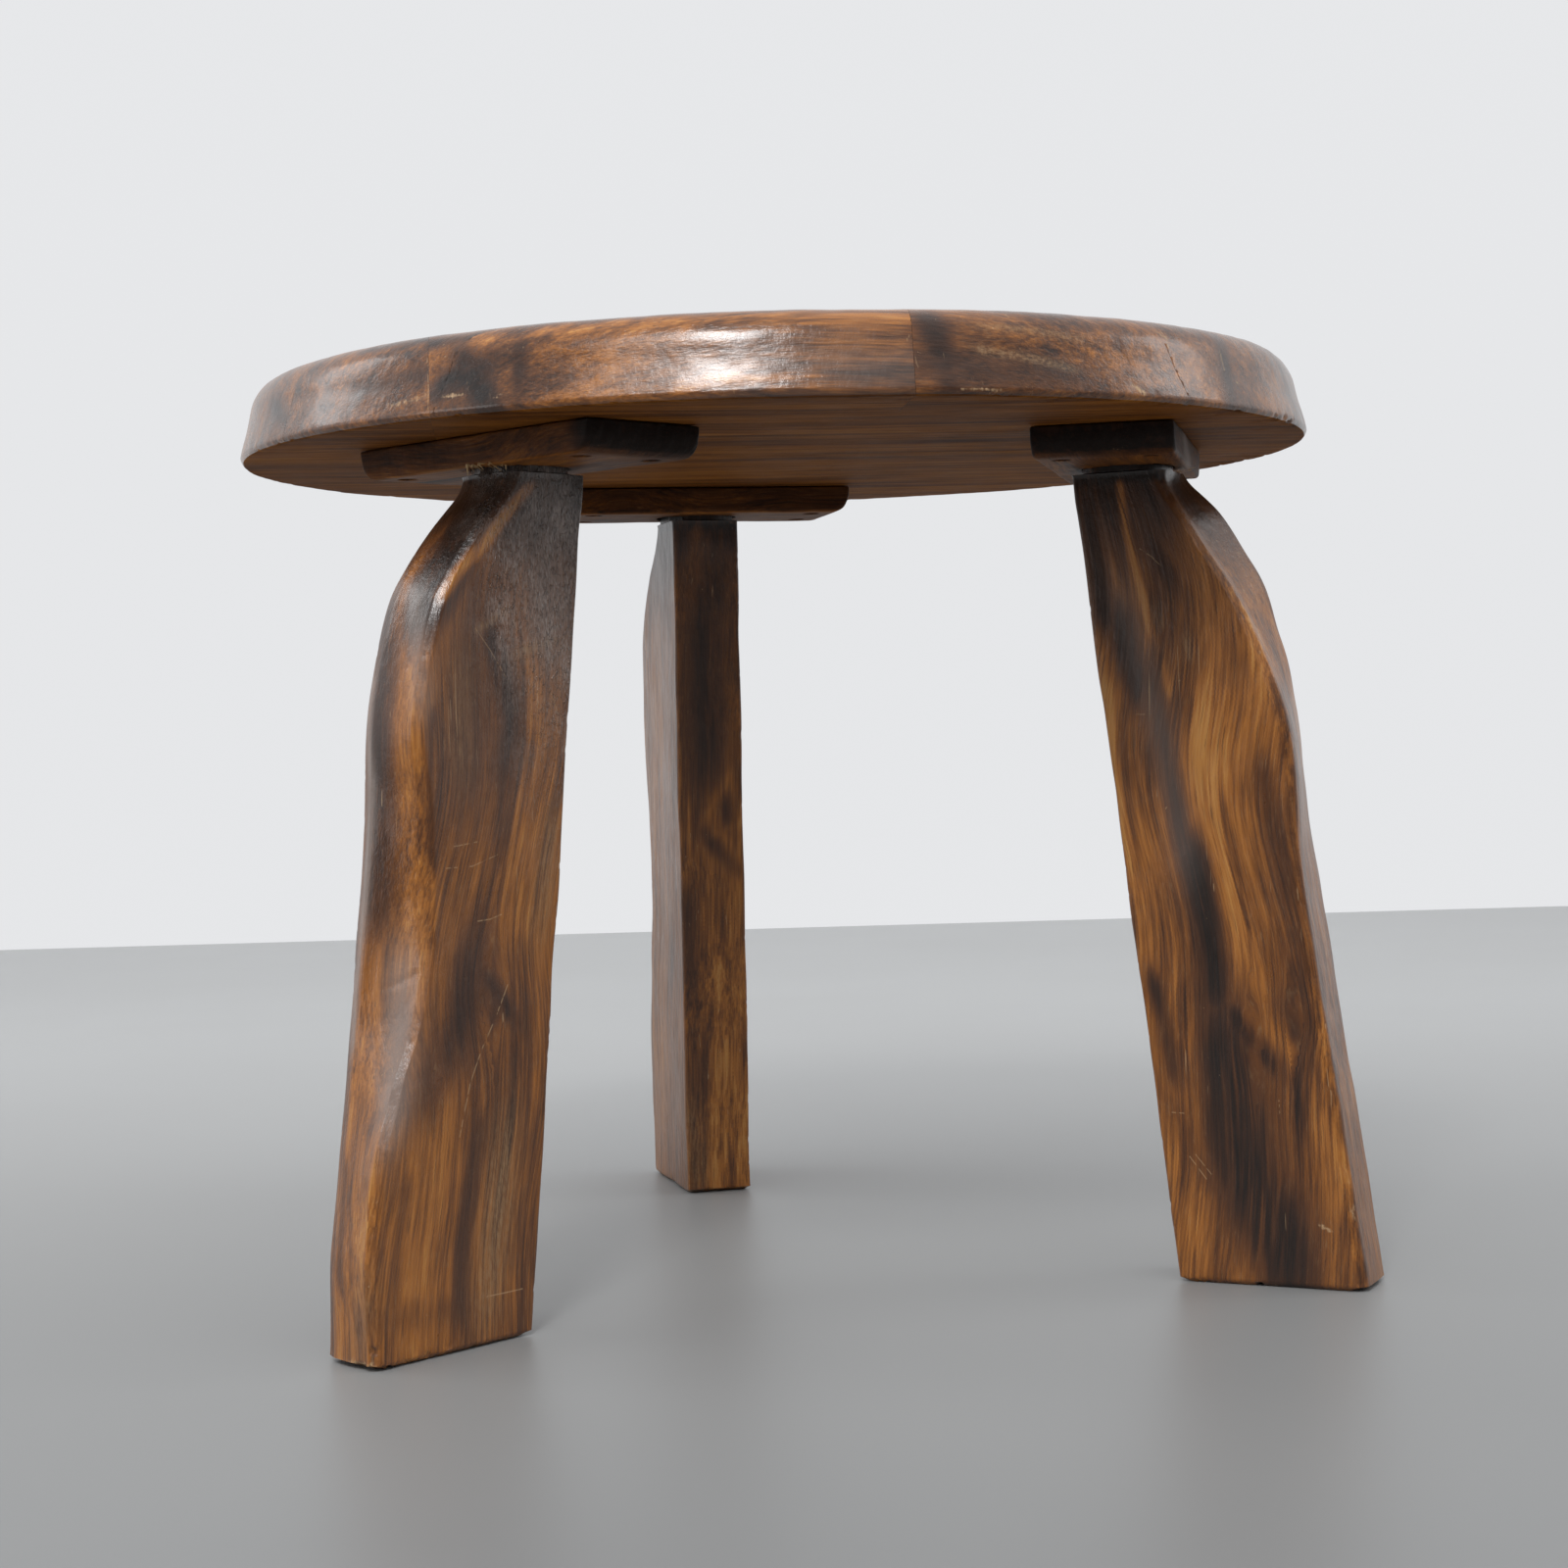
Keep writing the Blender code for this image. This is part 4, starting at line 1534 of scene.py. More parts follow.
@dataclass(frozen=True)
class TornPlace:
    """A place of torn fibres beside a mortise, in the axes of its block: angles in radians, lengths in metres."""

    bearing: float
    spread: float
    count: int
    reach: tuple[float, float]
    length: tuple[float, float] = (2.5 * MM, 7.5 * MM)
    root_radius: tuple[float, float] = (0.35 * MM, 0.8 * MM)
    tip_radius: float = 0.05 * MM
    sides: int = 6
    flatness: tuple[float, float] = (0.35, 0.6)
    bends: tuple[float, float] = (1.6 * MM, 1.0 * MM)
    buried: float = 1.0 * MM
    tilt: tuple[float, float] = (-0.15, 0.75)
    turn: float = 1.1
    sunk: tuple[float, float] = (0.2 * MM, 1.2 * MM)

    def sliver(self, rng: np.random.Generator) -> bpy.types.Object:
        """One flattened, bent sliver, its root buried below the origin.

        Args:
            rng: the source of the random draws.

        Returns:
            The sliver, pointing up.
        """
        length = rng.uniform(*self.length)
        sliver = new_primitive(
            "sliver", bpy.ops.mesh.primitive_cone_add, vertices=self.sides, radius1=rng.uniform(*self.root_radius),
            radius2=self.tip_radius, depth=length,
        )
        edit(sliver, lambda: bpy.ops.mesh.subdivide(number_cuts=2))
        points = points_of(sliver)
        rise = points[:, 2] / length + 0.5
        points[:, 0] = points[:, 0] * rng.uniform(*self.flatness) + rise**2 * rng.uniform(-1.0, 1.0) * self.bends[0]
        points[:, 1] += rise**2 * rng.uniform(-1.0, 1.0) * self.bends[1]
        points[:, 2] += 0.5 * length - self.buried
        move_points(sliver, points)
        return sliver

    def spot(self, rng: np.random.Generator, underside: float) -> Matrix:
        """Where the next sliver stands, and how it leans over the mortise.

        Args:
            rng: the source of the random draws.
            underside: the height of the block's underside.

        Returns:
            The sliver's place in the block's axes.
        """
        angle = self.bearing + rng.uniform(-self.spread, self.spread)
        tilt = Matrix.Rotation(math.pi / 2 + rng.uniform(*self.tilt), 4, "Y")
        turn = Matrix.Rotation(angle + math.pi + rng.uniform(-self.turn, self.turn), 4, "Z")
        away = rng.uniform(*self.reach)
        base = Vector((away * math.cos(angle), away * math.sin(angle), underside + rng.uniform(*self.sunk)))
        return Matrix.Translation(base) @ turn @ tilt


@dataclass
class MountingBlock:
    """One block under the top: its solid remeshed finely, softened and roughened."""

    station: str
    voxel: float = 1.0 * MM
    mouth: float = 25.0 * MM
    swell: float = 0.10 * MM
    end_grain: float = 0.20 * MM
    torn_depth: float = 1.6 * MM
    grain_sway: float = 3.0 * MM
    brushes: Sequence[Brush] = ()

    def __post_init__(self) -> None:
        """Reads the block's own axes and its mortise from the frame."""
        self.node = f"leg_block_{self.station}"
        side = broadest_side(self.node)
        low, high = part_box(self.node)
        self.low, self.high = low.z, high.z
        self.axis = tenon_axis(self.station)
        outwards = self.axis - PhotoCamera().axis()
        side = side if side.dot(outwards) > 0.0 else -side
        self.angle = math.atan2(side.y, side.x)
        self.seed = STATIONS.index(self.station)

    def to_world(self) -> Matrix:
        """Turns the block's own axes, X outwards and Y along, to their place under the top."""
        return Matrix.Translation(self.axis) @ Matrix.Rotation(self.angle, 4, "Z")

    def body(self) -> bpy.types.Object:
        """A remeshed copy of the block's solid, worked in the block's own axes.

        Returns:
            The block, at its place under the top.
        """
        block = duplicate(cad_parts[self.node], f"mounting_block_{self.station}")
        block.parent = None
        block.data.transform(self.to_world().inverted())
        edit(block, lambda: bpy.ops.mesh.remove_doubles(threshold=0.005 * MM))
        apply_modifier(block, "REMESH", mode="VOXEL", voxel_size=self.voxel, adaptivity=0.0)
        apply_modifier(block, "SMOOTH", factor=0.5, iterations=2)
        self.roughen(block)
        block.data.transform(self.to_world())
        return block

    def roughen(self, block: bpy.types.Object) -> None:
        """Rough end grain and torn fibres round the mouth of the mortise.

        Args:
            block: the block.
        """
        points, normals = points_of(block), normals_of(block)
        ends = ease(np.abs(normals[:, 1]), 0.6, 0.9)
        sink = self.swell * (Ripple(110 + self.seed, 0.02, 0.09).at(points) - 1.0)
        sink += ends * self.end_grain * (Ripple(119 + self.seed, 0.003, 0.012, 26, (1.0, 1.0, 0.25)).at(points) - 1.2)
        reach = np.hypot(points[:, 0], points[:, 1])
        mouth = np.exp(-(((reach - self.mouth) / (3.0 * MM)) ** 2)) * (points[:, 2] < self.low + 4.0 * MM)
        mouth = mouth * (points[:, 0] > 0.0) * ease(Ripple(129 + self.seed, 0.003, 0.012, 26).at(points), 0.1, 1.5)
        sink -= self.torn_depth * mouth
        move_points(block, points + normals * sink[:, None])

    def fibre(self, block: bpy.types.Object) -> None:
        """Writes the run of the grain, along the block's long side.

        Args:
            block: the block.
        """
        points = (points_of(block) - np.array(self.axis)) @ np.array(Matrix.Rotation(self.angle, 3, "Z"))
        shift = np.array((0.53, 0.33, 2.3)) * (1 + self.seed)
        sway = self.grain_sway * Ripple(130, 0.06, 0.2).at(points)
        write_field(block, "fibre", np.stack([points[:, 0] + sway, points[:, 2] + sway, points[:, 1]], axis=1) + shift)

    def make(self, camera: PhotoCamera) -> bpy.types.Object:
        """Builds the finished block, all but its material.

        Args:
            camera: the photograph's camera.

        Returns:
            The block.
        """
        block = self.body()
        self.fibre(block)
        points, normals = points_of(block), normals_of(block)
        corner = 1.0 - np.abs(normals @ np.array(Matrix.Rotation(self.angle, 3, "Z"))).max(axis=1)
        patchy = np.clip(0.35 + 0.4 * Ripple(140, 0.01, 0.06).at(points), 0.0, 1.0)
        wear = ease(corner, 0.12, 0.3) * patchy * 0.5 * (points[:, 2] < self.high - 3.0 * MM)
        beneath = 1.6 * ease(-normals[:, 2], 0.6, 0.9)
        paint(block, self.brushes, camera, {Mark.WEAR: wear, Mark.HONEY: beneath})
        smooth(block, math.radians(60))
        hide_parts(self.node)
        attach(block, "root")
        log.info("%s: %d faces", block.name, len(block.data.polygons))
        return block

    def splinters(self, torn: TornPlace) -> bpy.types.Object:
        """Torn fibres that stand out of the underside beside the mortise, as one piece.

        Args:
            torn: the torn place.

        Returns:
            The joined slivers.
        """
        rng = np.random.default_rng(200 + self.seed)
        made = []
        for _ in range(torn.count):
            sliver = torn.sliver(rng)
            sliver.data.transform(self.to_world() @ torn.spot(rng, self.low))
            made.append(sliver)
        bpy.ops.object.select_all(action="DESELECT")
        for sliver in made:
            sliver.select_set(True)
        bpy.context.view_layer.objects.active = made[0]
        bpy.ops.object.join()
        cluster = bpy.context.view_layer.objects.active
        cluster.name = cluster.data.name = f"torn_fibres_{self.station}"
        smooth(cluster, math.radians(70))
        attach(cluster, "root")
        log.info("%s: %d faces", cluster.name, len(cluster.data.polygons))
        return cluster


@dataclass(frozen=True)
class WoodScrew:
    """A slotted countersunk wood screw, modelled once and copied to every hole."""

    head_radius: float = 4.2 * MM
    head_lip: float = 0.5 * MM
    head_height: float = 3.0 * MM
    shank_radius: float = 2.1 * MM
    tip_radius: float = 0.4 * MM
    tip_length: float = 6.0 * MM
    length: float = 30.0 * MM
    slot_width: float = 1.1 * MM
    slot_depth: float = 1.2 * MM
    steps: int = 40
    merge: float = 0.01 * MM

    def pattern(self) -> bpy.types.Object:
        """The first screw, standing on its head, with its slot cut.

        Returns:
            The screw.
        """
        outline = (
            (0.0, 0.25 * self.head_lip), (0.5 * self.head_radius, 0.08 * self.head_lip), (0.92 * self.head_radius, 0.0),
            (self.head_radius, 0.3 * self.head_lip), (self.head_radius, self.head_lip),
            (self.shank_radius, self.head_height), (self.shank_radius, self.length - self.tip_length),
            (self.tip_radius, self.length), (0.0, self.length),
        )
        screw = spun("screw_pattern", outline, self.steps, self.merge)
        cutter = new_primitive("slot_cutter", bpy.ops.mesh.primitive_cube_add, size=1.0)
        cutter.scale = (self.slot_width, 3.0 * self.head_radius, 2.0 * self.slot_depth)
        settle(cutter)
        apply_modifier(screw, "BOOLEAN", operation="DIFFERENCE", object=cutter, solver="EXACT")
        bpy.data.objects.remove(cutter, do_unlink=True)
        return screw

    def make(self, material: bpy.types.Material) -> None:
        """Copies the screw to every node, each with its slot turned its own way.

        Args:
            material: its material.
        """
        pattern, rng = self.pattern(), np.random.default_rng(300)
        for node in sorted(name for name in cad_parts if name.startswith("screw_")):
            low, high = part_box(node)
            screw = duplicate(pattern, f"wood_{node}")
            place = Vector(((low.x + high.x) / 2.0, (low.y + high.y) / 2.0, low.z))
            turn = Matrix.Rotation(rng.uniform(0.0, math.pi), 4, "Z")
            screw.data.transform(Matrix.Translation(place) @ turn)
            dress([screw], material)
            smooth(screw)
            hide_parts(node)
            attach(screw, "root")
            log.info("%s: %d faces", screw.name, len(screw.data.polygons))
        bpy.data.objects.remove(pattern, do_unlink=True)


# Backdrop and light


@dataclass(frozen=True)
class Lamp:
    """A soft rectangular lamp that faces the table, placed by its azimuth from the front and its lift in degrees."""

    name: str
    azimuth: float
    lift: float
    size: tuple[float, float]
    watts: float
    distance: float = 2.4

    def make(self, aim: Vector) -> None:
        """Hangs the lamp in the scene.

        Args:
            aim: the point that it faces.
        """
        data = bpy.data.lights.new(self.name, "AREA")
        data.shape = "RECTANGLE"
        data.size, data.size_y = self.size
        data.energy = self.watts
        lamp = bpy.data.objects.new(self.name, data)
        bpy.context.collection.objects.link(lamp)
        turn, up = math.radians(self.azimuth), math.radians(self.lift)
        back = Vector((math.sin(turn) * math.cos(up), -math.cos(turn) * math.cos(up), math.sin(up)))
        lamp.location = aim + back * self.distance
        lamp.rotation_mode = "QUATERNION"
        lamp.rotation_quaternion = (-back).to_track_quat("-Z", "Y")


LAMPS = (
    Lamp("left_window", -105.0, 26.0, (0.6, 0.8), 5.2),
    Lamp("side_window", -64.0, 6.0, (0.8, 0.9), 4.2),
    Lamp("right_window", 93.0, 26.0, (0.7, 0.8), 4.8),
    Lamp("front_window", -11.0, 40.0, (0.40, 0.60), 24.5),
    Lamp("front_spill", -19.0, 36.0, (1.3, 0.8), 10.5),
)


@dataclass(frozen=True)
class Studio:
    """The plain floor, the pale wall behind and the soft lamps."""

    sheet_size: float = 14.0
    wall_behind: float = 2.635
    wall_middle: float = 3.0
    lamp_aim: float = 0.48
    # the floor's painted fall of light: painted shade near the camera, painted light towards the wall
    floor_near_shade: Colour = (0.155, 0.158, 0.158)
    floor_far_light: Colour = (0.425, 0.432, 0.430)
    floor_light_run: tuple[float, float] = (-1.1, 1.7)
    floor_cloud: Colour = (0.25, 0.24, 0.23)
    cloud_share: float = 0.10
    wall_colour: Colour = (0.800, 0.808, 0.824)
    sky: Colour = (0.93, 0.94, 0.96)
    sky_strength: tuple[float, float] = (0.76, 1.55)
    room_strength: tuple[float, float] = (0.11, 0.95)
    room_edge: tuple[float, float] = (-0.75, 0.15)
    above_edge: tuple[float, float] = (0.15, 0.60)
    above_strength: float = 0.55

    def floor_paint(self) -> bpy.types.Material:
        """Smooth pale paint with the faintest clouds and a soft gloss, painted darker near the camera and paler towards
        the wall as a painted fall of light.

        Returns:
            The material.
        """
        recipe = Recipe("floor_paint")
        depth = recipe.add("ShaderNodeSeparateXYZ", {0: recipe.place()}).outputs["Y"]
        cloud = recipe.noise(recipe.place(), (1.3, 1.3, 1.3), 4.0, 0.6)
        tint = recipe.blend(recipe.span(depth, *self.floor_light_run), self.floor_near_shade, self.floor_far_light)
        tint = recipe.blend(recipe.span(cloud, 0.3, 0.7, 0.0, self.cloud_share), tint, self.floor_cloud)
        return recipe.shade(Base_Color=tint, Roughness=0.42, Specular_IOR_Level=0.5)

    def wall_paint(self) -> bpy.types.Material:
        """Matt white paint that glows for the camera, metal and gloss, which see it lit at its own colour; it is
        painted a touch darker towards the floor, a painted fall of light.

        Returns:
            The material.
        """
        recipe = Recipe("wall_paint")
        rays = recipe.add("ShaderNodeLightPath")
        seen = recipe.math("ADD", rays.outputs["Is Camera Ray"], rays.outputs["Is Glossy Ray"])
        seen = recipe.math("ADD", seen, rays.outputs["Is Transmission Ray"], clamp=True)
        height = recipe.add("ShaderNodeSeparateXYZ", {0: recipe.place()}).outputs["Z"]
        # painted fall of light: the wall a touch darker towards the floor
        shade = recipe.blend(
            recipe.span(height, 0.0, 2.2), tuple(0.985 * part for part in self.wall_colour), self.wall_colour
        )
        recipe.shade(Base_Color=shade, Roughness=0.9)
        glow = recipe.add("ShaderNodeEmission", {"Color": shade, "Strength": 1.0})
        mix = recipe.add("ShaderNodeMixShader", {0: seen, 1: recipe.shader.outputs[0], 2: glow.outputs[0]})
        recipe.feed(recipe.tree.nodes["Material Output"].inputs["Surface"], mix.outputs[0])
        return recipe.material

    def air(self, tree: bpy.types.NodeTree) -> None:
        """Pale light from all round and most from above; gloss mirrors the room behind the camera as dark.

        Args:
            tree: the world's nodes.
        """
        background = tree.nodes["Background"]
        background.inputs["Color"].default_value = (*self.sky, 1.0)
        heading = tree.nodes.new("ShaderNodeTexCoord")
        parts = tree.nodes.new("ShaderNodeSeparateXYZ")
        rays = tree.nodes.new("ShaderNodeLightPath")
        room = tree.nodes.new("ShaderNodeMath")
        room.operation = "MAXIMUM"
        strength = tree.nodes.new("ShaderNodeMix")
        tree.links.new(heading.outputs["Generated"], parts.inputs[0])
        for axis, socket, limits in (
            ("Z", strength.inputs[2], (0.0, 1.0, *self.sky_strength)),
            ("Y", room.inputs[0], (*self.room_edge, *self.room_strength)),
            ("Z", room.inputs[1], (*self.above_edge, 0.0, self.above_strength)),
        ):
            slope = tree.nodes.new("ShaderNodeMapRange")
            slope.interpolation_type = "SMOOTHSTEP"
            for name, value in zip(("From Min", "From Max", "To Min", "To Max"), limits):
                slope.inputs[name].default_value = value
            tree.links.new(parts.outputs[axis], slope.inputs["Value"])
            tree.links.new(slope.outputs["Result"], socket)
        tree.links.new(room.outputs[0], strength.inputs[3])
        tree.links.new(rays.outputs["Is Glossy Ray"], strength.inputs[0])
        tree.links.new(strength.outputs[0], background.inputs["Strength"])

    def sheet(self, name: str, place: Matrix, material: bpy.types.Material) -> bpy.types.Object:
        """One large backdrop plane.

        Args:
            name: its name.
            place: how it stands.
            material: its material.

        Returns:
            The plane.
        """
        plane = new_primitive(name, bpy.ops.mesh.primitive_plane_add, size=self.sheet_size)
        edit(plane, lambda: bpy.ops.mesh.subdivide(number_cuts=3))
        plane.data.transform(place)
        plane.data.materials.append(material)
        return plane

    def make(self, axis: Vector) -> None:
        """Builds the set.

        Args:
            axis: the foot of the table's axis.
        """
        floor = self.sheet("floor", Matrix(), self.floor_paint())
        back = Matrix.Translation(axis + Vector((0.0, self.wall_behind, self.wall_middle)))
        wall = self.sheet("wall", back @ Matrix.Rotation(math.pi / 2, 4, "X"), self.wall_paint())
        world = bpy.data.worlds.new("studio_air")
        world.use_nodes = True
        self.air(world.node_tree)
        bpy.context.scene.world = world
        for lamp in LAMPS:
            lamp.make(axis + Vector((0.0, 0.0, self.lamp_aim)))


# Strokes seen in the photograph, by its pixels

RIM_BRUSHES = strokes({
    Mark.STAIN_AND_SHADE: (
        (9, 0.72, (455, 392), (480, 380), (490, 398)),
        (6, 0.55, (530, 366), (530, 378)),
        (5, 0.60, (445, 350), (485, 344)),
        (4, 0.50, (375, 358), (430, 347)),
        (7, 0.60, (283, 420), (292, 430)),
        (11, 0.55, (954, 340), (966, 375)),
        (11, 0.50, (960, 372), (1010, 378), (1060, 380)),
        (9, 0.50, (1248, 360), (1255, 400)),
        (7, 0.40, (370, 400), (420, 385)),
    ),
    Mark.HONEY: (
        (6, 0.80, (560, 337), (640, 331), (720, 327), (800, 324), (860, 324), (925, 325)),
        (4, 0.70, (504, 346), (556, 340)),
        (10, 0.40, (885, 340), (905, 375), (915, 350)),
        (5, 0.60, (700, 390), (750, 386), (820, 388)),
        (4, 0.60, (497, 366), (508, 372)),
        (12, 0.40, (330, 385), (360, 372)),
        (14, 0.35, (1080, 350), (1150, 365), (1190, 375)),
        (10, 0.30, (600, 370), (680, 360)),
    ),
    # painted sheen: a pale greyish reflection veil on the rim
    Mark.PAINTED_SHEEN: (
        (14, 0.12, (800, 372), (900, 372)),
    ),
    Mark.RUB: (
        (2, 0.90, (1003, 357), (1045, 364), (1090, 375)),
        (2, 0.70, (1005, 333), (1060, 338), (1100, 346)),
    ),
    Mark.WEAR: (
        (3.0, 0.75, (400, 413), (418, 409), (433, 404)),
        (2.0, 0.85, (454, 404), (470, 403)),
        (1.6, 0.85, (505, 406), (508, 404)),
        (1.8, 0.80, (1178, 338), (1190, 345), (1192, 352)),
        (2.0, 0.80, (1246, 364), (1248, 373)),
        (1.4, 0.80, (1262, 390), (1264, 392)),
        (2.2, 0.90, (1160, 396), (1166, 400)),
        (1.2, 0.80, (982, 397), (1002, 397), (1022, 398)),
    ),
})
FRONT_LEFT_BRUSHES = strokes({
    Mark.STAIN_AND_SHADE: (
        (17, 1.15, (505, 495), (480, 528), (458, 560), (440, 592)),
        (30, 0.42, (555, 500), (560, 600)),
        (24, 0.52, (492, 640), (486, 700), (482, 760)),
        (11, 0.75, (506, 665), (515, 700), (521, 735), (516, 768)),
        (14, 0.74, (396, 640), (390, 700), (388, 800), (384, 900)),
        (9, 0.42, (410, 1040), (402, 1120)),
        (3.5, 0.50, (441, 735), (438, 800), (441, 870)),
        (16, 0.66, (474, 1005), (468, 1040), (452, 1080)),
        (7, 0.65, (500, 1002), (520, 1032)),
        (7, 0.50, (490, 1160), (481, 1210), (473, 1270), (469, 1330)),
        (5, 0.40, (415, 1215), (407, 1270), (402, 1330)),
        (12, 0.35, (405, 1345), (440, 1340)),
        (5, 0.45, (352, 1200), (347, 1300)),
        (3.2, -0.82, (537, 500), (510, 533), (489, 560), (468, 582), (455, 601)),
    ),
    # painted sheen: pale grey reflections on the hollow, the bulge, the far arris and the top of the broad face
    Mark.PAINTED_SHEEN: (
        (10, 0.50, (409, 1010), (406, 1060), (400, 1125)),
        (7, 0.30, (424, 615), (425, 660), (429, 705)),
        (3.5, 0.50, (380, 700), (378, 800), (375, 870), (370, 940), (363, 1010), (360, 1060)),
        (22, 0.32, (560, 530), (562, 610)),
    ),
    Mark.HONEY: (
        (12, 0.30, (530, 820), (532, 900)),
        (8, 0.55, (514, 1190), (508, 1290)),
        (4.0, 1.40, (535, 503), (510, 533), (489, 560), (468, 582), (455, 601)),
        (6, 0.60, (420, 590), (406, 632)),
        (10, 0.25, (402, 785), (400, 850), (396, 905)),
        (9, 0.50, (545, 700), (550, 780), (545, 850), (538, 930)),
        (7, 0.35, (456, 690), (461, 760), (463, 860)),
        (6, 0.50, (442, 1170), (438, 1250), (433, 1330)),
        (7, 0.45, (532, 1080), (526, 1130), (520, 1180)),
        (7, 0.60, (380, 1215), (371, 1260), (366, 1310)),
    ),
    Mark.RUB: (
        (7, 0.80, (561, 855), (557, 890), (552, 930)),
        (10, 0.95, (512, 1190), (508, 1240), (500, 1300)),
        (2, 0.80, (490, 641), (512, 626)),
        (3, 0.90, (535, 664), (560, 655)),
        (8, 0.45, (470, 700), (470, 760)),
        (8, 0.45, (370, 1330), (365, 1380)),
    ),
    Mark.WEAR: (
        (3, 0.90, (362, 1391), (378, 1394)),
    ),
    # blistered lacquer: bumps and glossier spots, with pale painted glints on them
    Mark.BLISTER: (
        (32, 0.90, (562, 520), (566, 610)),
        (20, 0.70, (520, 560), (520, 600)),
    ),
})
RIGHT_BRUSHES = strokes({
    Mark.STAIN_AND_SHADE: (
        (8, 0.80, (1106, 500), (1116, 560), (1126, 620)),
        (10, 0.70, (1142, 640), (1157, 690)),
        (8, 0.62, (1175, 700), (1187, 760), (1200, 820), (1210, 880)),
        (10, 0.95, (1222, 890), (1232, 940), (1240, 1000)),
        (8, 0.70, (1155, 500), (1170, 545), (1186, 580)),
        # painted shade: darkens the top of the leg right under the block, over a corner that catches light
        (18, 0.70, (1125, 495), (1205, 500)),
        (6, 0.35, (1245, 640), (1262, 672)),
        (9, 0.55, (1290, 800), (1300, 850), (1310, 900)),
        (5, 0.80, (1318, 1035), (1322, 1052)),
        (8, 1.20, (1268, 1048), (1285, 1072)),
        (20, 1.25, (1262, 1105), (1268, 1150), (1278, 1200), (1292, 1240)),
        (5.5, 0.85, (1180, 1010), (1190, 1050), (1197, 1088)),
        (8, 0.40, (1205, 1140), (1232, 1200)),
        (2.6, -0.70, (1143, 498), (1149, 540), (1160, 590), (1175, 640), (1192, 700)),
    ),
    # painted sheen: a grey reflection along the dark streak
    Mark.PAINTED_SHEEN: (
        (9, 0.16, (1150, 620), (1187, 760), (1205, 860)),
    ),
    Mark.HONEY: (
        (13, 0.65, (1215, 540), (1240, 580), (1262, 620)),
        (8, 0.45, (1275, 660), (1291, 720), (1305, 790)),
        (9, 0.60, (1225, 720), (1240, 790), (1256, 860)),
        (8, 0.75, (1256, 900), (1266, 940), (1276, 985)),
        (8, 0.95, (1308, 1068), (1330, 1100), (1346, 1145)),
        (6, 0.90, (1338, 1020), (1350, 1085)),
        (9, 0.45, (1190, 960), (1206, 1030), (1226, 1100)),
        (4, 0.70, (1128, 705), (1139, 790), (1152, 875)),
        (8, 0.60, (1205, 1200), (1217, 1262)),
        (8, 0.55, (1366, 1180), (1380, 1240), (1390, 1290)),
        (3.0, 1.10, (1143, 498), (1149, 540), (1160, 590), (1175, 640), (1192, 700)),
    ),
    Mark.RUB: (
        (2, 0.8, (1180, 625), (1182, 632)),
        (2, 0.8, (1211, 655), (1213, 668)),
    ),
    Mark.WEAR: (
        (2.0, 0.9, (1350, 1252), (1357, 1256)),
        (2.0, 0.9, (1380, 1232), (1381, 1240)),
    ),
})
REAR_BRUSHES = strokes({
    Mark.STAIN_AND_SHADE: (
        (22, 0.72, (722, 530), (722, 640), (722, 740)),
        (9, 0.65, (708, 700), (712, 780)),
        (6, 0.80, (742, 826), (742, 830)),
        (5, 0.60, (755, 790), (757, 805)),
        (7, 0.55, (728, 860), (745, 880)),
        (7, 0.50, (702, 930), (705, 1000)),
    ),
    Mark.HONEY: (
        (5, 0.80, (739, 800), (727, 822), (738, 848), (755, 840)),
        (2, 0.80, (689, 540), (690, 700), (693, 800)),
        (7, 0.55, (700, 830), (706, 880)),
        (9, 0.75, (737, 930), (730, 1000)),
        (12, 0.75, (740, 1080), (740, 1180)),
    ),
    Mark.RUB: (
        (9, 0.50, (705, 1150), (712, 1190)),
    ),
    Mark.WEAR: (
        (7, 0.42, (715, 1062), (735, 1052)),
    ),
})
BLOCK_BRUSHES = {
    "front_left": strokes({Mark.STAIN_AND_SHADE: ((14, 0.8, (612, 440), (700, 452)),)}),
    "right": strokes({
        # the right block's end carries a painted sheen, a pale grey reflection
        Mark.STAIN_AND_SHADE: ((14, 0.7, (1060, 450), (1190, 445)),), Mark.PAINTED_SHEEN: ((10, 0.55, (1209, 447), (1213, 470)),),
    }),
    "rear": (),
}
LEG_BRUSHES = {"front_left": FRONT_LEFT_BRUSHES, "right": RIGHT_BRUSHES, "rear": REAR_BRUSHES}
LEG_KNOTS = {
    "front_left": (Knot((500, 1010), 8 * MM, 22 * MM), Knot((449, 1102), 3 * MM, 10 * MM)),
    "right": (
        Knot((1322, 1040), 5 * MM, 18 * MM), Knot((1277, 1060), 6 * MM, 20 * MM), Knot((1284, 1004), 3 * MM, 12 * MM),
    ),
    "rear": (Knot((740, 826), 7 * MM, 20 * MM),),
}
LEG_HOLLOWS = {
    "front_left": (
        Hollow(2.6 * MM, (
            ((409, 920), 5 * MM), ((410, 985), 10 * MM), ((409, 1040), 15 * MM),
            ((406, 1095), 13 * MM), ((398, 1165), 4 * MM),
        )),
        Hollow(0.7 * MM, (((392, 1008), 2.0 * MM), ((424, 994), 2.5 * MM))),
    ),
    "right": (),
    "rear": (),
}
FAR_CORNERS = {
    "front_left": ((5.0 * MM, 0.0), (2.6 * MM, 3.2 * MM)),
    "right": ((4.5 * MM, 0.0), (0.0, 4.5 * MM)),
    "rear": ((4.5 * MM, 0.0), (0.0, 4.5 * MM)),
}
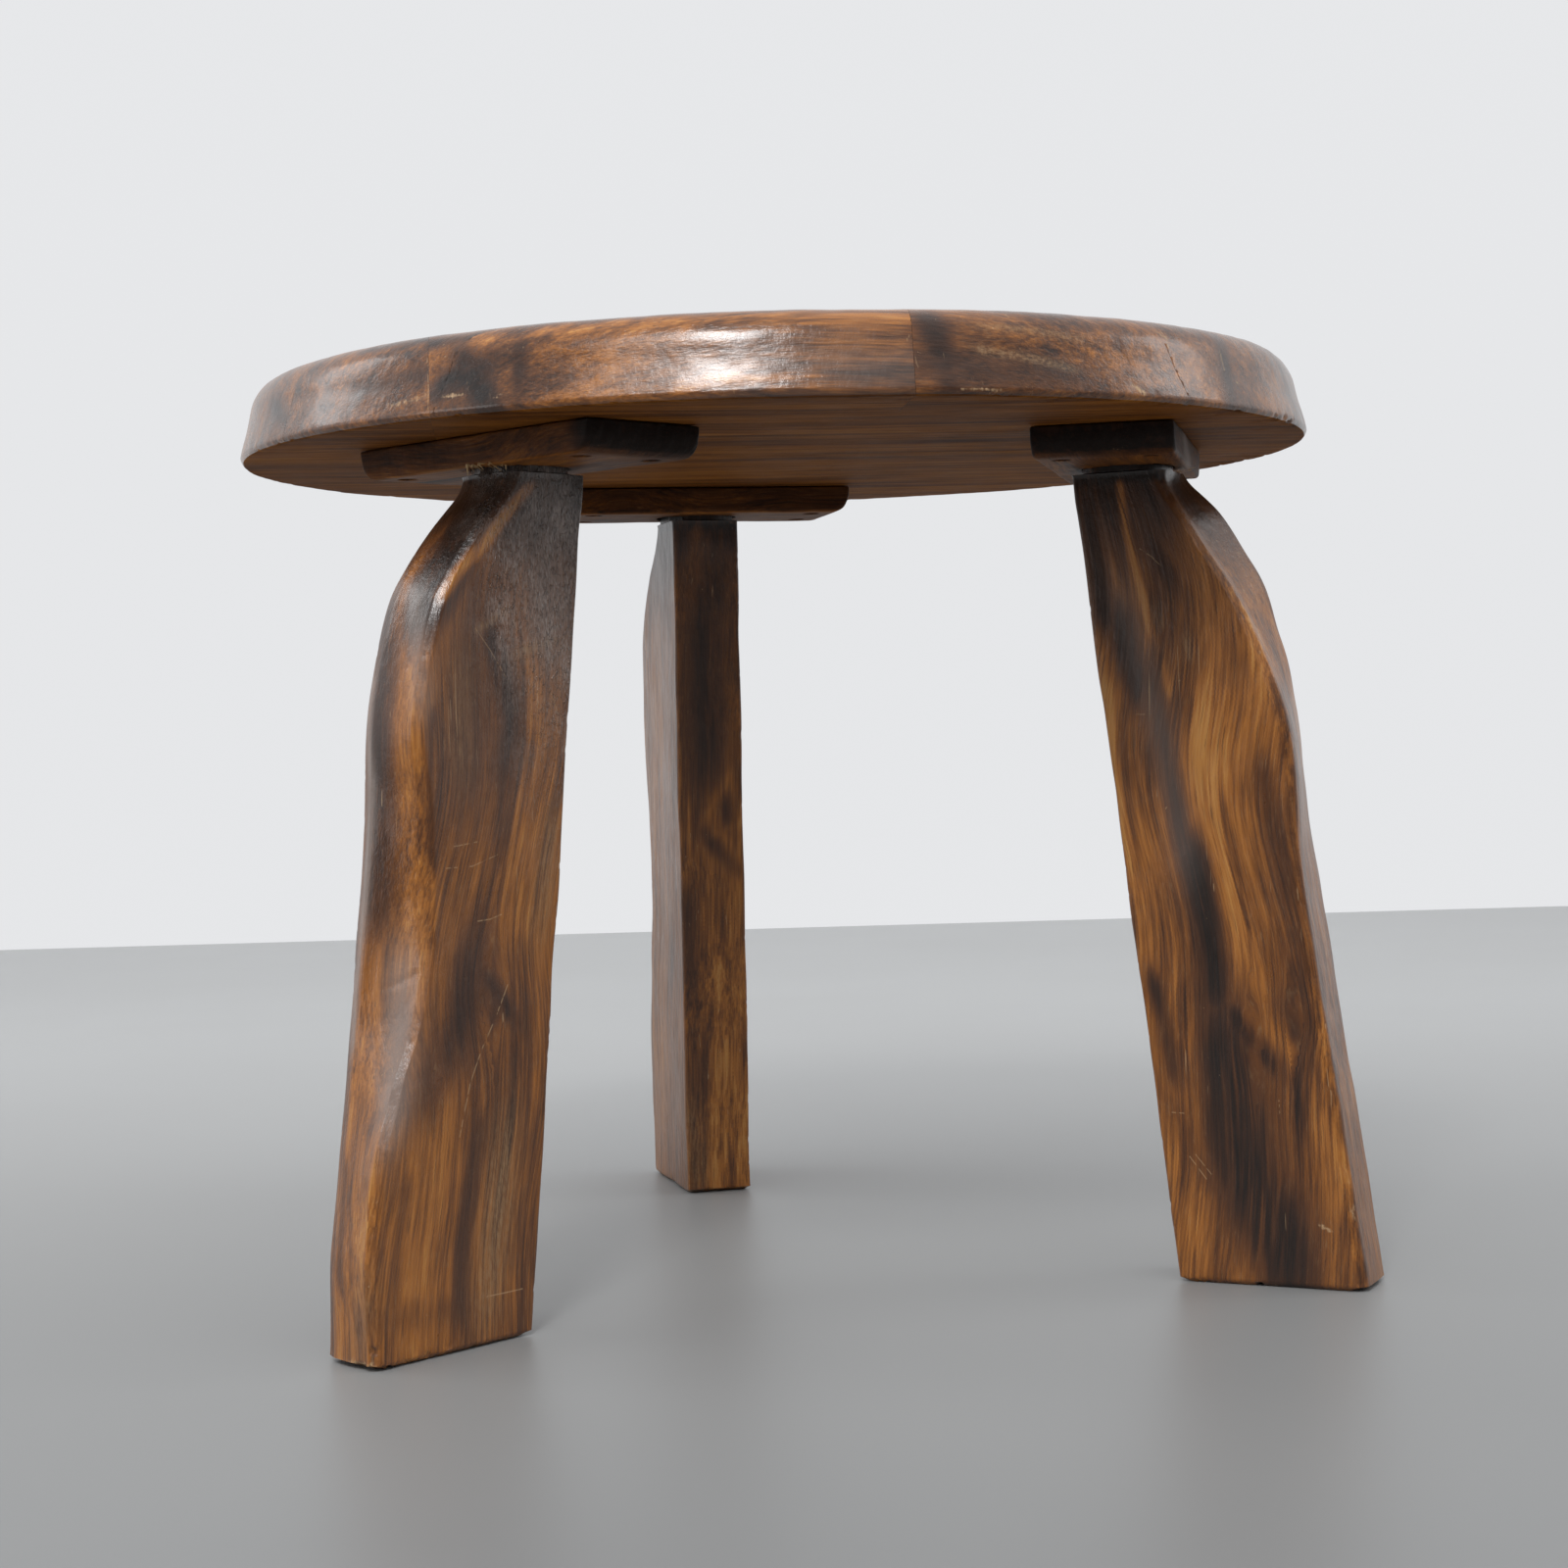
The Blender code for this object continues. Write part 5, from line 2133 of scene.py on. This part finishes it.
LEG_SWELLS = {
    "front_left": ((0, 0), (50, 4.3), (366, 4.6), (388, 5.8), (410, 7.6), (430, 6.2), (438, 7.0)),
    "right": (
        (0, 0), (233, 0), (265, 2.4), (286, 2.4), (307, 0.4), (327, -2.2), (348, -5.4), (369, -7.7), (380, -8.1),
        (390, -7.2), (401, -3.7), (411, -0.6), (418, 1.2), (424, 3.4), (430, 6.0), (438, 9.0),
    ),
    "rear": ((0, 0), (425, 0), (438, 5.0)),
}
LEG_LEANS = {"front_left": 0.0, "right": -0.10, "rear": 0.0}
TORN_PLACES = (TornPlace(0.40, 0.42, 22, (30 * MM, 37 * MM)), TornPlace(0.95, 0.35, 44, (27 * MM, 42 * MM)))
RIM_SCRATCHES = scratches(
    (0.9, 0.50, (454, 364), (506, 357), (561, 353), (620, 347), (700, 341)),
    (0.8, 0.55, (436, 366), (437, 392), (437, 418)),
    (0.7, 0.50, (452, 352), (500, 346), (520, 343)),
    (0.8, 0.80, (1184, 338), (1193, 349)),
)
LEG_SCRATCHES = scratches(
    (1.0, 0.70, (518, 1005), (505, 1040), (492, 1070), (480, 1105), (475, 1130), (469, 1160)),
    (0.9, 0.75, (497, 1323), (516, 1319), (533, 1315)),
    (0.8, 0.60, (455, 886), (482, 884), (508, 872)),
    (0.8, 0.60, (463, 864), (487, 859)),
    (0.9, 0.70, (487, 940), (500, 938), (512, 933)),
    (0.7, 0.50, (485, 641), (500, 663), (518, 694)),
    (0.7, 0.50, (560, 700), (570, 730)),
    (0.8, 0.60, (1214, 1180), (1231, 1203)),
    (0.7, 0.60, (1220, 1178), (1236, 1198)),
    (0.9, 0.55, (1163, 560), (1175, 568), (1184, 577)),
    (0.8, 0.60, (1196, 1135), (1208, 1136)),
    (0.7, 0.60, (1305, 1123), (1306, 1138)),
    (0.7, 0.55, (1159, 729), (1168, 729)),
)


def lines_on(camera: PhotoCamera, pieces: Sequence[bpy.types.Object], seen: Sequence[Scratch]) -> tuple[Line, ...]:
    """Where scratches lie on the first piece that each one meets.

    Args:
        camera: the photograph's camera.
        pieces: the meshes.
        seen: the scratches.

    Returns:
        The width, the strength and the places of each line found.
    """
    solids = [solid_tree(piece) for piece in pieces]
    lines = []
    for mark in seen:
        for solid in solids:
            points = located(camera, solid, mark.pixels)
            if len(points) == len(mark.pixels):
                lines.append((mark.width, mark.strength, [Vector(point) for point in points]))
                break
    return tuple(lines)


def main() -> None:
    """Builds the camera, the set and every piece of the table."""
    bpy.context.scene.view_settings.view_transform = "Standard"
    camera = PhotoCamera()
    camera.make()
    Studio().make(camera.axis())
    top = RoundTop(brushes=RIM_BRUSHES)
    boards = top.make(camera)
    rim_lines = lines_on(camera, boards, RIM_SCRATCHES)
    grain = {"streaks": (120.0, 95.0, 4.5), "seed": 2.0}
    lacquered = LacquerWood(
        "board_wood", tone=0.46, weights=(0.8, 0.75, 0.62, 0.60, 0.60), roughness=0.30, coat=0.45, specular=0.5,
        flow_depth=0.6 * MM, hairs=0.25, lines=rim_lines, **grain
    ).make()
    bare = LacquerWood(
        "board_underside", tone=0.60, weights=(0.55, 0.70, 0.60, 0.50, 0.25), roughness=0.65, coat=0.0, specular=0.04,
        hairs=0.0, **grain
    ).make()
    top.finish(boards, lacquered, bare)
    legs = [
        PlankLeg(
            name, brushes=LEG_BRUSHES[name], knots=LEG_KNOTS[name], hollows=LEG_HOLLOWS[name], lean=LEG_LEANS[name],
            swells=LEG_SWELLS[name], far_corner=FAR_CORNERS[name],
        ).make(camera)
        for name in STATIONS
    ]
    dress(legs, LacquerWood("leg_wood", seed=9.0, lines=lines_on(camera, legs, LEG_SCRATCHES)).make())
    blocks = [MountingBlock(name, brushes=BLOCK_BRUSHES[name]) for name in STATIONS]
    block_wood = LacquerWood(
        "block_wood", tone=0.28, seed=15.0, weights=(0.5, 0.6, 0.6, 0.5, 0.3), roughness=0.60, coat=0.0, specular=0.16,
        hairs=0.0,
    )
    dress([block.make(camera) for block in blocks], block_wood.make())
    pale = Palette(amber=(0.46, 0.29, 0.13), honey=(0.62, 0.44, 0.25))
    torn_wood = LacquerWood(
        "torn_wood", palette=pale, tone=0.85, roughness=0.6, coat=0.0, weights=(0.3, 0.3, 0.4, 0.4, 0.3), hairs=0.0
    ).make()
    dress([block.splinters(place) for block, place in zip(blocks, TORN_PLACES)], torn_wood)
    WoodScrew().make(TarnishedSteel().make())
    dowel_wood = PlainDowel().make()
    dress([node for name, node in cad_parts.items() if name.startswith("seam_")], dowel_wood)


if __name__ == "__main__":
    main()
